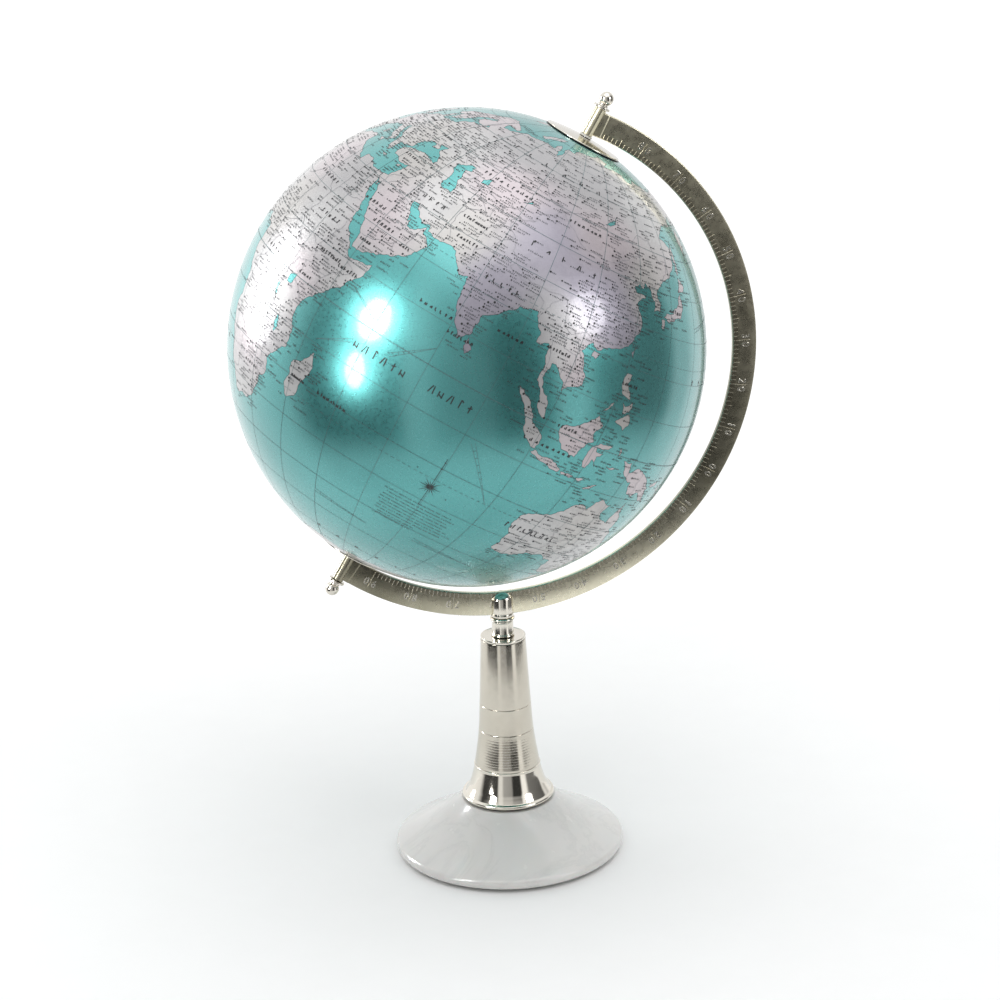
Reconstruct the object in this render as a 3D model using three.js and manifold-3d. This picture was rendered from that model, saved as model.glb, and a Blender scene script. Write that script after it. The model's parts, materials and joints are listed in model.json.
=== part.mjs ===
// Desktop globe on a turned stand: a tilted ball turns on an axle between the ends of a
// graduated C-shaped arm, which a slotted fork holds on a flared column and a stone base.
//
// Millimetres, +Z up. The origin is the centre of the underside, on the column's axis.
// The arm lies in the XZ plane, and the north pole leans towards +X.

import * as THREE from 'three';
import { mergeVertices } from 'three/addons/utils/BufferGeometryUtils.js';
import Module from 'manifold-3d';

const wasm = await Module();
wasm.setup();

const GAP = 0.3; // left between pieces that touch

// Globe
const GLOBE_RADIUS = 127;
const SHELL_WALL = 1.6;
const AXIS_TILT = THREE.MathUtils.degToRad(31.5);
const POLE_HOLE_RADIUS = 5;
const BAND_HALF_WIDTH = 9;
const BAND_WALL = 1.4;
const CAP_RADIUS = 20.8;
const CAP_THICKNESS = 0.8;

// Meridian arm
const ARM_INNER_RADIUS = 131.3;
const ARM_OUTER_RADIUS = 144.4;
const ARM_THICKNESS = 3.2;
const ARM_OFFSET = 16.5; // from the globe's centre to the arm's own centre
const ARM_CENTRE_HEIGHT = 283.6;
const LUG_THICKNESS = 4.4;
const LUG_LENGTH = 6.5; // from the axle towards the arm's middle
const ARM_END = 1.2; // how far the bar runs past the axle, inside the boss
const BOSS_RADIUS = 3.1;
const BOSS_LENGTH = 15.3;

// Axle and what is on it
const AXLE_RADIUS = 1.6;
const SPACER_RADIUS = 3.4;
const SPACER_THICKNESS = 0.9;
const COLLAR_RADIUS = 4.6;
const COLLAR_THICKNESS = 1.2;
const FINIAL_NECK_RADIUS = 2.5;
const FINIAL_NECK_LENGTH = 1.3;
const FINIAL_BALL_RADIUS = 3.8;

// Stone base
const PAD_THICKNESS = 1.5;
const PAD_RADIUS = 57.5;
const BASE_RADIUS = 63.4;
const BASE_EDGE_RADIUS = 3.2;
const BASE_TOP = 30.9;
const BASE_TOP_RADIUS = 26;
const BASE_WAIST = [35.5, 21.4]; // pulls the slope hollow between the rim and the foot
const RECESS_RADIUS = 11;
const RECESS_CEILING = 12;

// Column
const GASKET_THICKNESS = 0.5;
const FOOT_BEAD_RADIUS = 1.2;
const FOOT_RADIUS = 25.6;
const FOOT_TOP = 51.2;
const COLUMN_TOP = 125.1;
const COLUMN_TOP_RADIUS = 12.4;
const COLUMN_BORE_RADIUS = 9;
const COLUMN_CAP_THICKNESS = 1.5;

// Neck, fork and tie rod
const SLEEVE_RADIUS = 6.05;
const SLEEVE_TOP = 135.9;
const STEM_RADIUS = 4.8;
const RING_RADIUS = 6.8;
const RING_THICKNESS = 1.5;
const FORK_RADIUS = 6.25;
const FORK_SHOULDER = 147.5;
const FORK_TOP = 152.4;
const TIE_ROD_RADIUS = 3;
const TIE_ROD_BOTTOM = 2.6;
const TIE_ROD_TOP = 135.7;
const WASHER_RADIUS = 9;
const WASHER_THICKNESS = 1.4;
const SET_SCREW_RADIUS = 1.5;

// Segments round a full turn
const LARGE_ROUND = 40;
const MEDIUM_ROUND = 28;
const SMALL_ROUND = 16;

const axleBore = AXLE_RADIUS + GAP;
const shellInnerRadius = GLOBE_RADIUS - SHELL_WALL;
const capInnerRadius = GLOBE_RADIUS + GAP;
const capOuterRadius = capInnerRadius + CAP_THICKNESS;
const spacerStart = capOuterRadius + GAP;
const bossStart = spacerStart + SPACER_THICKNESS + GAP;
const bossEnd = bossStart + BOSS_LENGTH;
const collarStart = bossEnd + GAP;
const finialStart = collarStart + COLLAR_THICKNESS + GAP;
const finialBoreDepth = 3.2;
const axleHalfLength = finialStart + finialBoreDepth - GAP;

// ---------------------------------------------------------------- shape helpers

// A profile of [radius, height] pairs, counter-clockwise, turned about the Z axis.
function revolve(profile, segments) {
  const points = profile.map(([radius, height]) => new THREE.Vector2(radius, height));
  return new THREE.LatheGeometry(points, segments).rotateX(Math.PI / 2);
}

function arc(centreRadius, centreHeight, radius, startAngle, endAngle, steps) {
  const points = [];
  for (let i = 0; i <= steps; i += 1) {
    const angle = THREE.MathUtils.degToRad(startAngle + ((endAngle - startAngle) * i) / steps);
    points.push([centreRadius + radius * Math.cos(angle), centreHeight + radius * Math.sin(angle)]);
  }
  return points;
}

function curve(knots, steps) {
  const spline = new THREE.SplineCurve(knots.map(([x, y]) => new THREE.Vector2(x, y)));
  return spline.getPoints(steps).map((point) => [point.x, point.y]);
}

function ring(innerRadius, outerRadius, low, high, segments) {
  return revolve([
    [innerRadius, low],
    [outerRadius, low],
    [outerRadius, high],
    [innerRadius, high],
    [innerRadius, low],
  ], segments);
}

function disc(radius, low, high, segments) {
  return revolve([[0, low], [radius, low], [radius, high], [0, high]], segments);
}

function solid(geometry) {
  const bare = geometry.clone();
  bare.deleteAttribute('normal');
  bare.deleteAttribute('uv');
  const merged = mergeVertices(bare, 1e-4);
  const corners = merged.index.array;
  const kept = [];
  for (let i = 0; i < corners.length; i += 3) {
    const [a, b, c] = corners.subarray(i, i + 3);
    if (a !== b && b !== c && c !== a) {
      kept.push(a, b, c);
    }
  }
  return new wasm.Manifold(new wasm.Mesh({
    numProp: 3,
    vertProperties: new Float32Array(merged.attributes.position.array),
    triVerts: new Uint32Array(kept),
  }));
}

function geometryOf(manifold) {
  const mesh = manifold.getMesh();
  const geometry = new THREE.BufferGeometry();
  geometry.setAttribute('position', new THREE.BufferAttribute(mesh.vertProperties, 3));
  geometry.setIndex(new THREE.BufferAttribute(mesh.triVerts, 1));
  return geometry;
}

function cut(geometry, ...tools) {
  return geometryOf(tools.reduce((body, tool) => body.subtract(solid(tool)), solid(geometry)));
}

function join(...geometries) {
  return geometryOf(geometries.map(solid).reduce((body, piece) => body.add(piece)));
}

function place(group, name, geometry, material) {
  const mesh = new THREE.Mesh(geometry, material);
  mesh.name = name;
  group.add(mesh);
}

// ---------------------------------------------------------------- materials

function finish(color, roughness, metalness) {
  return new THREE.MeshStandardMaterial({ color, roughness, metalness });
}

const polishedNickel = () => finish(0xd2cdc4, 0.14, 1);
const satinNickel = () => finish(0xc4bdb0, 0.34, 1);
const plainSteel = () => finish(0x8e9092, 0.45, 1);
const metallicPrint = () => finish(0x63aeac, 0.28, 0.55);
const whiteStone = () => finish(0xe2e3df, 0.25, 0);
const greenFelt = () => finish(0x2f4a3c, 0.95, 0);
const blackRubber = () => finish(0x202020, 0.8, 0);
const greyBoard = () => finish(0xa79f8f, 0.9, 0);
const whiteNylon = () => finish(0xe8e6df, 0.5, 0);

// ---------------------------------------------------------------- stone base

function baseDisc() {
  const edgeCentre = [BASE_RADIUS - BASE_EDGE_RADIUS, PAD_THICKNESS + GAP + BASE_EDGE_RADIUS];
  const edge = arc(...edgeCentre, BASE_EDGE_RADIUS, -90, 62, 6);
  const slopeStart = edge[edge.length - 1];
  const slope = new THREE.QuadraticBezierCurve(
    new THREE.Vector2(...slopeStart),
    new THREE.Vector2(...BASE_WAIST),
    new THREE.Vector2(BASE_TOP_RADIUS, BASE_TOP),
  );
  const holeRadius = TIE_ROD_RADIUS + 1;
  const underside = PAD_THICKNESS + GAP;
  return revolve([
    [RECESS_RADIUS, underside],
    ...edge,
    ...slope.getPoints(6).slice(1).map((point) => [point.x, point.y]),
    [holeRadius, BASE_TOP],
    [holeRadius, RECESS_CEILING],
    [RECESS_RADIUS, RECESS_CEILING],
    [RECESS_RADIUS, underside],
  ], LARGE_ROUND);
}

// ---------------------------------------------------------------- column

function columnFoot() {
  const low = BASE_TOP + GAP + GASKET_THICKNESS + GAP;
  const beadCentre = [FOOT_RADIUS - FOOT_BEAD_RADIUS, low + FOOT_BEAD_RADIUS];
  const flare = curve([[23.8, 34.5], [20.9, 40], [19.5, 45], [18.1, FOOT_TOP]], 6);
  return revolve([
    [COLUMN_BORE_RADIUS, low],
    ...arc(...beadCentre, FOOT_BEAD_RADIUS, -90, 80, 6),
    ...flare,
    [COLUMN_BORE_RADIUS, FOOT_TOP],
    [COLUMN_BORE_RADIUS, low],
  ], MEDIUM_ROUND);
}

function columnBody() {
  const low = FOOT_TOP + GAP;
  const knots = [[18, low], [16.1, 64], [15, 74], [14.2, 88], [13.4, 104], [COLUMN_TOP_RADIUS, COLUMN_TOP]];
  return revolve([
    [COLUMN_BORE_RADIUS, low],
    ...curve(knots, 9),
    [COLUMN_BORE_RADIUS, COLUMN_TOP],
    [COLUMN_BORE_RADIUS, low],
  ], MEDIUM_ROUND);
}

// ---------------------------------------------------------------- neck and fork

const rodHole = TIE_ROD_RADIUS + GAP;
const ringLow = SLEEVE_TOP + GAP;
const forkLow = ringLow + RING_THICKNESS + GAP;
const stemBottom = COLUMN_TOP + GAP + COLUMN_CAP_THICKNESS + GAP;
const armBottom = ARM_CENTRE_HEIGHT - ARM_OUTER_RADIUS;
const setScrewHeight = armBottom + 5.5;

function trimRing() {
  const bore = STEM_RADIUS + GAP;
  const bulge = RING_THICKNESS / 2;
  return revolve([
    [bore, ringLow],
    ...arc(RING_RADIUS - bulge, ringLow + bulge, bulge, -90, 90, 6),
    [bore, ringLow + RING_THICKNESS],
    [bore, ringLow],
  ], SMALL_ROUND);
}

// A round stem and a bullet-topped head, slotted for the arm and tapped from the back.
function armFork() {
  const nose = [];
  for (let i = 1; i <= 6; i += 1) {
    const angle = (Math.PI / 2) * (i / 6);
    const height = FORK_SHOULDER + (FORK_TOP - FORK_SHOULDER) * Math.sin(angle);
    nose.push([i < 6 ? FORK_RADIUS * Math.cos(angle) : 0, height]);
  }
  const blank = revolve([
    [0, TIE_ROD_TOP + GAP],
    [rodHole, TIE_ROD_TOP + GAP],
    [rodHole, stemBottom],
    [STEM_RADIUS, stemBottom],
    [STEM_RADIUS, forkLow],
    [FORK_RADIUS, forkLow],
    [FORK_RADIUS, FORK_SHOULDER],
    ...nose,
  ], SMALL_ROUND);
  const slotHeight = 20;
  const slot = new THREE.BoxGeometry(4 * FORK_RADIUS, ARM_THICKNESS + 2 * GAP, slotHeight)
    .translate(0, 0, armBottom - GAP + slotHeight / 2);
  const tappingRadius = SET_SCREW_RADIUS + GAP;
  const tapping = new THREE.CylinderGeometry(tappingRadius, tappingRadius, 2 * FORK_RADIUS, SMALL_ROUND)
    .translate(0, FORK_RADIUS, setScrewHeight);
  return cut(blank, slot, tapping);
}

function forkSetScrew() {
  const length = 4;
  const start = ARM_THICKNESS / 2 + GAP;
  const socketDepth = 1.8;
  const socketRadius = 0.87;
  const screw = new THREE.CylinderGeometry(SET_SCREW_RADIUS, SET_SCREW_RADIUS, length, SMALL_ROUND)
    .translate(0, start + length / 2, setScrewHeight);
  const socket = new THREE.CylinderGeometry(socketRadius, socketRadius, 2 * socketDepth, 6)
    .translate(0, start + length, setScrewHeight);
  return cut(screw, socket);
}

// ---------------------------------------------------------------- tie rod fastenings

const washerTop = RECESS_CEILING - GAP;
const lockWasherTop = washerTop - WASHER_THICKNESS - GAP;
const nutTop = lockWasherTop - WASHER_THICKNESS - GAP;

function lockWasher() {
  const outerRadius = 5.6;
  const middle = lockWasherTop - WASHER_THICKNESS / 2;
  const blank = ring(rodHole, outerRadius, lockWasherTop - WASHER_THICKNESS, lockWasherTop, SMALL_ROUND);
  const split = new THREE.BoxGeometry(outerRadius, 1.2, outerRadius).rotateX(0.35).translate(5, 0, middle);
  return cut(blank, split);
}

function tieNut() {
  const cornerRadius = 10 / Math.sqrt(3);
  const height = 4.9;
  const blank = new THREE.CylinderGeometry(cornerRadius, cornerRadius, height, 6)
    .rotateX(Math.PI / 2)
    .translate(0, 0, nutTop - height / 2);
  return cut(blank, disc(rodHole, nutTop - 2 * height, nutTop + height, SMALL_ROUND));
}

// ---------------------------------------------------------------- meridian arm

// In the polar frame: Z is the globe's axis, X points at the middle of the arm.
function armSector(thickness, startAngle, endAngle, steps) {
  const shape = new THREE.Shape();
  shape.absarc(0, 0, ARM_OUTER_RADIUS, startAngle, endAngle, false);
  shape.absarc(0, 0, ARM_INNER_RADIUS, endAngle, startAngle, true);
  shape.closePath();
  return new THREE.ExtrudeGeometry(shape, { depth: thickness, bevelEnabled: false, curveSegments: steps })
    .translate(0, 0, -thickness / 2)
    .rotateX(Math.PI / 2)
    .translate(ARM_OFFSET, 0, 0);
}

function meridianArm() {
  const middleRadius = (ARM_INNER_RADIUS + ARM_OUTER_RADIUS) / 2;
  const poleAngle = Math.PI / 2 + Math.asin(ARM_OFFSET / middleRadius);
  const lugStart = poleAngle - LUG_LENGTH / middleRadius;
  const endAngle = poleAngle + ARM_END / middleRadius;
  const parts = [
    armSector(ARM_THICKNESS, -endAngle, endAngle, 64),
    armSector(LUG_THICKNESS, lugStart, endAngle, 3),
    armSector(LUG_THICKNESS, -endAngle, -lugStart, 3),
    disc(BOSS_RADIUS, bossStart, bossEnd, SMALL_ROUND),
    disc(BOSS_RADIUS, -bossEnd, -bossStart, SMALL_ROUND),
  ];
  return cut(join(...parts), disc(axleBore, -2 * bossEnd, 2 * bossEnd, SMALL_ROUND));
}

// ---------------------------------------------------------------- axle fittings

function finial() {
  const ballCentre = finialStart + FINIAL_NECK_LENGTH + FINIAL_BALL_RADIUS * 0.72;
  const neckAngle = -THREE.MathUtils.radToDeg(Math.acos(FINIAL_NECK_RADIUS / FINIAL_BALL_RADIUS));
  const ball = arc(0, ballCentre, FINIAL_BALL_RADIUS, neckAngle, 90, 9);
  ball[ball.length - 1][0] = 0;
  return revolve([
    [0, finialStart + finialBoreDepth],
    [axleBore, finialStart + finialBoreDepth],
    [axleBore, finialStart],
    [FINIAL_NECK_RADIUS, finialStart],
    ...ball,
  ], SMALL_ROUND);
}

function poleBush() {
  const sleeveRadius = POLE_HOLE_RADIUS - GAP;
  const flangeRadius = 8;
  const top = GLOBE_RADIUS - 0.1;
  const flangeTop = shellInnerRadius - 0.9;
  const flangeBottom = flangeTop - 1.3;
  return revolve([
    [axleBore, flangeBottom],
    [flangeRadius, flangeBottom],
    [flangeRadius, flangeTop],
    [sleeveRadius, flangeTop],
    [sleeveRadius, top],
    [axleBore, top],
    [axleBore, flangeBottom],
  ], SMALL_ROUND);
}

// ---------------------------------------------------------------- globe

// A spherical shell about the Z axis, from the circle of one radius in to a smaller one.
function sphericalShell(sphere, wall, outerCircle, holeRadius, steps, segments) {
  const latitude = (circle, radius) => THREE.MathUtils.radToDeg(Math.acos(circle / radius));
  const inner = sphere - wall;
  const outside = arc(0, 0, sphere, latitude(outerCircle, sphere), latitude(holeRadius, sphere), steps);
  const innerCircle = Math.min(outerCircle, inner * Math.cos(Math.asin(GAP / 2 / inner)));
  const inside = arc(0, 0, inner, latitude(holeRadius, inner), latitude(innerCircle, inner), steps);
  return revolve([...outside, ...inside, outside[0]], segments);
}

function hemisphere() {
  const equatorCircle = GLOBE_RADIUS * Math.cos(Math.asin(GAP / 2 / GLOBE_RADIUS));
  return sphericalShell(GLOBE_RADIUS, SHELL_WALL, equatorCircle, POLE_HOLE_RADIUS, 10, LARGE_ROUND);
}

function polarCap() {
  return sphericalShell(capOuterRadius, CAP_THICKNESS, CAP_RADIUS, BOSS_RADIUS, 4, MEDIUM_ROUND);
}

function equatorBand() {
  const outer = shellInnerRadius - 0.8;
  return ring(outer - BAND_WALL, outer, -BAND_HALF_WIDTH, BAND_HALF_WIDTH, LARGE_ROUND);
}

// ---------------------------------------------------------------- assembly

const gasketLow = BASE_TOP + GAP;
const footGasket = () => ring(rodHole, 23.5, gasketLow, gasketLow + GASKET_THICKNESS, MEDIUM_ROUND);
const capLow = COLUMN_TOP + GAP;
const capHigh = capLow + COLUMN_CAP_THICKNESS;
const columnCap = () => ring(rodHole, COLUMN_TOP_RADIUS, capLow, capHigh, MEDIUM_ROUND);
const neckSleeve = () => ring(STEM_RADIUS + GAP, SLEEVE_RADIUS, stemBottom, SLEEVE_TOP, SMALL_ROUND);
const tieWasher = () => ring(rodHole, WASHER_RADIUS, washerTop - WASHER_THICKNESS, washerTop, SMALL_ROUND);
const tieRod = () => disc(TIE_ROD_RADIUS, TIE_ROD_BOTTOM, TIE_ROD_TOP, SMALL_ROUND);
const basePad = () => disc(PAD_RADIUS, 0, PAD_THICKNESS, LARGE_ROUND);
const axleRod = () => disc(AXLE_RADIUS, -axleHalfLength, axleHalfLength, SMALL_ROUND);
const spacer = () => ring(axleBore, SPACER_RADIUS, spacerStart, spacerStart + SPACER_THICKNESS, SMALL_ROUND);
const collar = () => ring(axleBore, COLLAR_RADIUS, collarStart, collarStart + COLLAR_THICKNESS, SMALL_ROUND);

function buildStand(group) {
  place(group, 'base_pad', basePad(), greenFelt());
  place(group, 'base_disc', baseDisc(), whiteStone());
  place(group, 'tie_washer', tieWasher(), plainSteel());
  place(group, 'lock_washer', lockWasher(), plainSteel());
  place(group, 'tie_nut', tieNut(), plainSteel());
  place(group, 'tie_rod', tieRod(), plainSteel());
  place(group, 'foot_gasket', footGasket(), blackRubber());
  place(group, 'column_foot', columnFoot(), polishedNickel());
  place(group, 'column_body', columnBody(), satinNickel());
  place(group, 'column_cap', columnCap(), polishedNickel());
  place(group, 'neck_sleeve', neckSleeve(), polishedNickel());
  place(group, 'trim_ring', trimRing(), polishedNickel());
  place(group, 'arm_fork', armFork(), polishedNickel());
  place(group, 'fork_set_screw', forkSetScrew(), plainSteel());
}

function buildPole(group, end) {
  place(group, `${end}_shell`, hemisphere(), metallicPrint());
  place(group, `${end}_bush`, poleBush(), whiteNylon());
  place(group, `${end}_polar_cap`, polarCap(), polishedNickel());
  place(group, `${end}_spacer`, spacer(), whiteNylon());
  place(group, `${end}_collar`, collar(), polishedNickel());
  place(group, `${end}_finial`, finial(), polishedNickel());
}

function buildPolarFrame(group) {
  const centreX = -ARM_OFFSET * Math.cos(AXIS_TILT);
  const centreZ = ARM_CENTRE_HEIGHT + ARM_OFFSET * Math.sin(AXIS_TILT);
  group.position.set(centreX, 0, centreZ);
  group.rotation.y = AXIS_TILT;
  place(group, 'meridian_arm', meridianArm(), satinNickel());
  place(group, 'axle_rod', axleRod(), plainSteel());
  place(group, 'equator_band', equatorBand(), greyBoard());
  const north = new THREE.Group();
  const south = new THREE.Group();
  south.rotation.x = Math.PI;
  buildPole(north, 'north');
  buildPole(south, 'south');
  group.add(north, south);
}

const globeOnStand = new THREE.Group();
const polarFrame = new THREE.Group();
buildStand(globeOnStand);
buildPolarFrame(polarFrame);
globeOnStand.add(polarFrame);

export default globeOnStand;
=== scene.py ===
"""Looks for the desktop globe on stand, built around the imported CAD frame, in metres."""
import json
import math
import random

import bpy
import numpy as np
from mathutils import Matrix, Vector
from mathutils.geometry import delaunay_2d_cdt


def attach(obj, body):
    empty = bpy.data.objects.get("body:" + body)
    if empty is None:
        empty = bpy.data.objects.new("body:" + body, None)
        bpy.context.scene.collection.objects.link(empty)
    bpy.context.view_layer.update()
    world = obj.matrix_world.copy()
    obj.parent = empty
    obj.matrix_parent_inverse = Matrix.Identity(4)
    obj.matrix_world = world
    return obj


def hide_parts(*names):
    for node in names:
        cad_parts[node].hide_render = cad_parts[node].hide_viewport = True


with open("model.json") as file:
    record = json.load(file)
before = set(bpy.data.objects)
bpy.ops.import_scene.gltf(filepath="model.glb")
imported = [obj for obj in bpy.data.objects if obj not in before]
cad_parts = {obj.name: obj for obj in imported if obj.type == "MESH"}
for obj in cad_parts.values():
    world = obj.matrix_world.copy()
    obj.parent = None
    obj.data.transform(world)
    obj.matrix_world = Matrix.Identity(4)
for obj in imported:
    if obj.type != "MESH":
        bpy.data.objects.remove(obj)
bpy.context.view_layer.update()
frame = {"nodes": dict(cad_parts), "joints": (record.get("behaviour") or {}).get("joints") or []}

MM = 0.001

# ---------------------------------------------------------------- sizes and directions
JOINT = frame["joints"][0]
CENTRE = np.array(JOINT["pos_m"], float)
AXIS = np.array(JOINT["axis"], float) / np.linalg.norm(JOINT["axis"])
BACK = np.array([0.0, 1.0, 0.0])
BOW = np.cross(BACK, AXIS)  # from the globe's centre towards the middle of the arm

GLOBE_RADIUS = 127.0 * MM
SHELL_WALL = 1.6 * MM
POLE_HOLE = 5.0 * MM
CAP_CIRCLE = 20.8 * MM
CAP_INNER = 127.3 * MM
CAP_OUTER = 128.1 * MM

ARM_OFFSET = 16.5 * MM
ARM_INNER = 131.3 * MM
ARM_OUTER = 144.4 * MM
ARM_THICKNESS = 3.2 * MM
LUG_THICKNESS = 4.4 * MM
LUG_LENGTH = 6.5 * MM
ARM_END = 1.2 * MM
ARM_CENTRE = CENTRE + ARM_OFFSET * BOW

# ---------------------------------------------------------------- mesh helpers
SMOOTH_ANGLE = 35.0  # faces that meet at less than this look like one surface
ON_AXIS = 1e-7  # a profile point this near the axis becomes one point
ROUNDED_ANGLE = 40.0  # cut edges sharper than this are rounded


def placed(name, data):
    """A new object in the scene, for some data."""
    thing = bpy.data.objects.new(name, data)
    bpy.context.scene.collection.objects.link(thing)
    return thing


def new_mesh(name, points, faces, materials=()):
    mesh = bpy.data.meshes.new(name)
    mesh.from_pydata([tuple(p) for p in points], [], [tuple(f) for f in faces])
    for material in materials:
        mesh.materials.append(material)
    return mesh


def soften(mesh, angle):
    """Smooth shading, with sharp edges where faces meet at more than an angle in degrees."""
    mesh.shade_smooth()
    mesh.set_sharp_from_angle(angle=math.radians(angle))


def worked_out(thing):
    """The mesh of an object with its modifiers or its text worked out."""
    bpy.context.view_layer.update()
    graph = bpy.context.evaluated_depsgraph_get()
    return bpy.data.meshes.new_from_object(thing.evaluated_get(graph))


def add_mesh(name, points, faces, materials, body, nodes=(), smooth=SMOOTH_ANGLE):
    """A mesh object in the shared frame, which rides on a body and stands for CAD nodes."""
    mesh = new_mesh(name, points, faces, materials)
    if smooth:
        soften(mesh, smooth)
    mesh.update()
    return settle(placed(name, mesh), body, nodes)


def settle(piece, body, nodes):
    """Ties a piece to its body and the CAD nodes that it stands for."""
    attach(piece, body)
    if nodes:
        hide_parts(*nodes)
    return piece


def arc(centre_r, centre_h, radius, start, end, steps):
    """Points (r, h) round a circle in the profile plane, between two angles in degrees."""
    angles = np.radians(np.linspace(start, end, steps + 1))
    return [(centre_r + radius * math.cos(a), centre_h + radius * math.sin(a), 0) for a in angles]


def smooth_line(points, steps):
    """A smooth curve through the points, as profile points without fillets."""
    pts = [np.array(p[:2], float) for p in points]
    pts = [2 * pts[0] - pts[1]] + pts + [2 * pts[-1] - pts[-2]]
    out = []
    for a, b, c, d in zip(pts, pts[1:], pts[2:], pts[3:]):
        for i in range(steps):
            t = i / steps
            p = 0.5 * (2 * b + (c - a) * t + (2 * a - 5 * b + 4 * c - d) * t**2
                       + (3 * b - a - 3 * c + d) * t**3)
            out.append((p[0], p[1], 0))
    out.append((pts[-2][0], pts[-2][1], 0))
    return out


def fillets(profile, steps=5):
    """Rounds each corner of a closed profile by the fillet radius that it carries."""
    out = []
    count = len(profile)
    for i, (r, h, fillet) in enumerate(profile):
        here = np.array([r, h], float)
        if fillet <= 0:
            out.append(here)
            continue
        before = np.array(profile[i - 1][:2], float) - here
        after = np.array(profile[(i + 1) % count][:2], float) - here
        reach = min(fillet, 0.48 * np.linalg.norm(before), 0.48 * np.linalg.norm(after))
        start = here + before / np.linalg.norm(before) * reach
        end = here + after / np.linalg.norm(after) * reach
        for k in range(steps + 1):
            t = k / steps
            out.append((1 - t) ** 2 * start + 2 * t * (1 - t) * here + t**2 * end)
    return out


def turned(name, profile, material, body, nodes=(), base=None, count=128):
    """A turned piece from a closed profile of (r, h, fillet) in millimetres, about an axis."""
    points, faces = turn(profile, base, count)
    return add_mesh(name, points, faces, [material], body, nodes)


def turn(profile, base=None, count=128):
    """Points and faces of a closed profile turned about the third direction of a base."""
    origin, e1, e2, e3 = base if base else (np.zeros(3), np.eye(3)[0], np.eye(3)[1], np.eye(3)[2])
    rings = fillets(profile)
    points, index = [], []
    angles = [2 * math.pi * k / count for k in range(count)]
    for r, h in rings:
        r, h = r * MM, h * MM
        if r < ON_AXIS:
            index.append([len(points)] * count)
            points.append(origin + h * e3)
            continue
        index.append(list(range(len(points), len(points) + count)))
        points += [origin + r * (math.cos(a) * e1 + math.sin(a) * e2) + h * e3 for a in angles]
    faces = []
    for low, high in zip(index, index[1:] + index[:1]):
        for k in range(count):
            j = (k + 1) % count
            face = [low[k], low[j], high[j], high[k]]
            face = [v for n, v in enumerate(face) if v != face[n - 1]]
            if len(set(face)) > 2:
                faces.append(face)
    return points, faces


POLAR = (CENTRE, BOW, BACK, AXIS)
SOUTH_POLAR = (CENTRE, BOW, -BACK, -AXIS)


def merge(parts):
    """Joins (points, faces) pairs into one pair."""
    points, faces = [], []
    for part_points, part_faces in parts:
        start = len(points)
        points += list(part_points)
        faces += [[v + start for v in face] for face in part_faces]
    return points, faces


def carve(piece, cutters, bevel):
    """Cuts solids out of a piece for good and rounds the new edges."""
    for tool in cutters:
        modifier = piece.modifiers.new("cut", "BOOLEAN")
        modifier.operation = "DIFFERENCE"
        modifier.solver = "EXACT"
        modifier.object = tool
    if bevel:
        rounding = piece.modifiers.new("round", "BEVEL")
        rounding.width = bevel
        rounding.segments = 3
        rounding.limit_method = "ANGLE"
        rounding.angle_limit = math.radians(ROUNDED_ANGLE)
    mesh = worked_out(piece)
    piece.modifiers.clear()
    piece.data = mesh
    soften(mesh, SMOOTH_ANGLE)
    for tool in cutters:
        bpy.data.objects.remove(tool)


def cutter(points, faces):
    """A solid that is only used to cut with."""
    return placed("cutter", new_mesh("cutter", points, faces))


def cutter_box(low, high):
    """A box to cut with, between two corners in millimetres."""
    corners = [(x, y, z) for x in (low[0], high[0]) for y in (low[1], high[1])
               for z in (low[2], high[2])]
    faces = [(0, 1, 3, 2), (4, 6, 7, 5), (0, 4, 5, 1), (2, 3, 7, 6), (0, 2, 6, 4), (1, 5, 7, 3)]
    return cutter([[c * MM for c in corner] for corner in corners], faces)


# ---------------------------------------------------------------- material helpers


MIX_A, MIX_B, MIX_RESULT = 6, 7, 2  # a Mix node's colour sockets
WHITE = (1.0, 1.0, 1.0)


class Tree:
    """Short calls for building one node tree."""

    def __init__(self, tree):
        self.tree = tree

    def add(self, kind, **settings):
        node = self.tree.nodes.new(kind)
        for key, value in settings.items():
            setattr(node, key, value)
        return node

    def link(self, source, target):
        self.tree.links.new(source, target)

    def span(self, value, low, high, start=0.3, end=0.7):
        """Maps start to end onto low to high. The defaults suit a noise."""
        node = self.add("ShaderNodeMapRange")
        node.inputs["From Min"].default_value = start
        node.inputs["From Max"].default_value = end
        node.inputs["To Min"].default_value = low
        node.inputs["To Max"].default_value = high
        self.link(value, node.inputs["Value"])
        return node.outputs["Result"]

    def colours(self, value, *stops):
        """A colour ramp with (position, colour) stops."""
        node = self.add("ShaderNodeValToRGB")
        ramp = node.color_ramp
        while len(ramp.elements) < len(stops):
            ramp.elements.new(0.5)
        for element, (position, colour) in zip(ramp.elements, stops):
            element.position = position
            element.color = (*colour, 1)
        self.link(value, node.inputs["Fac"])
        return node.outputs["Color"]

    def fade(self, factor, colour, grey):
        """From a colour to a plain grey, by a factor."""
        node = self.add("ShaderNodeMix", data_type="RGBA")
        node.inputs[MIX_B].default_value = (grey, grey, grey, 1)
        self.link(factor, node.inputs["Factor"])
        self.link(colour, node.inputs[MIX_A])
        return node.outputs[MIX_RESULT]


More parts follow.
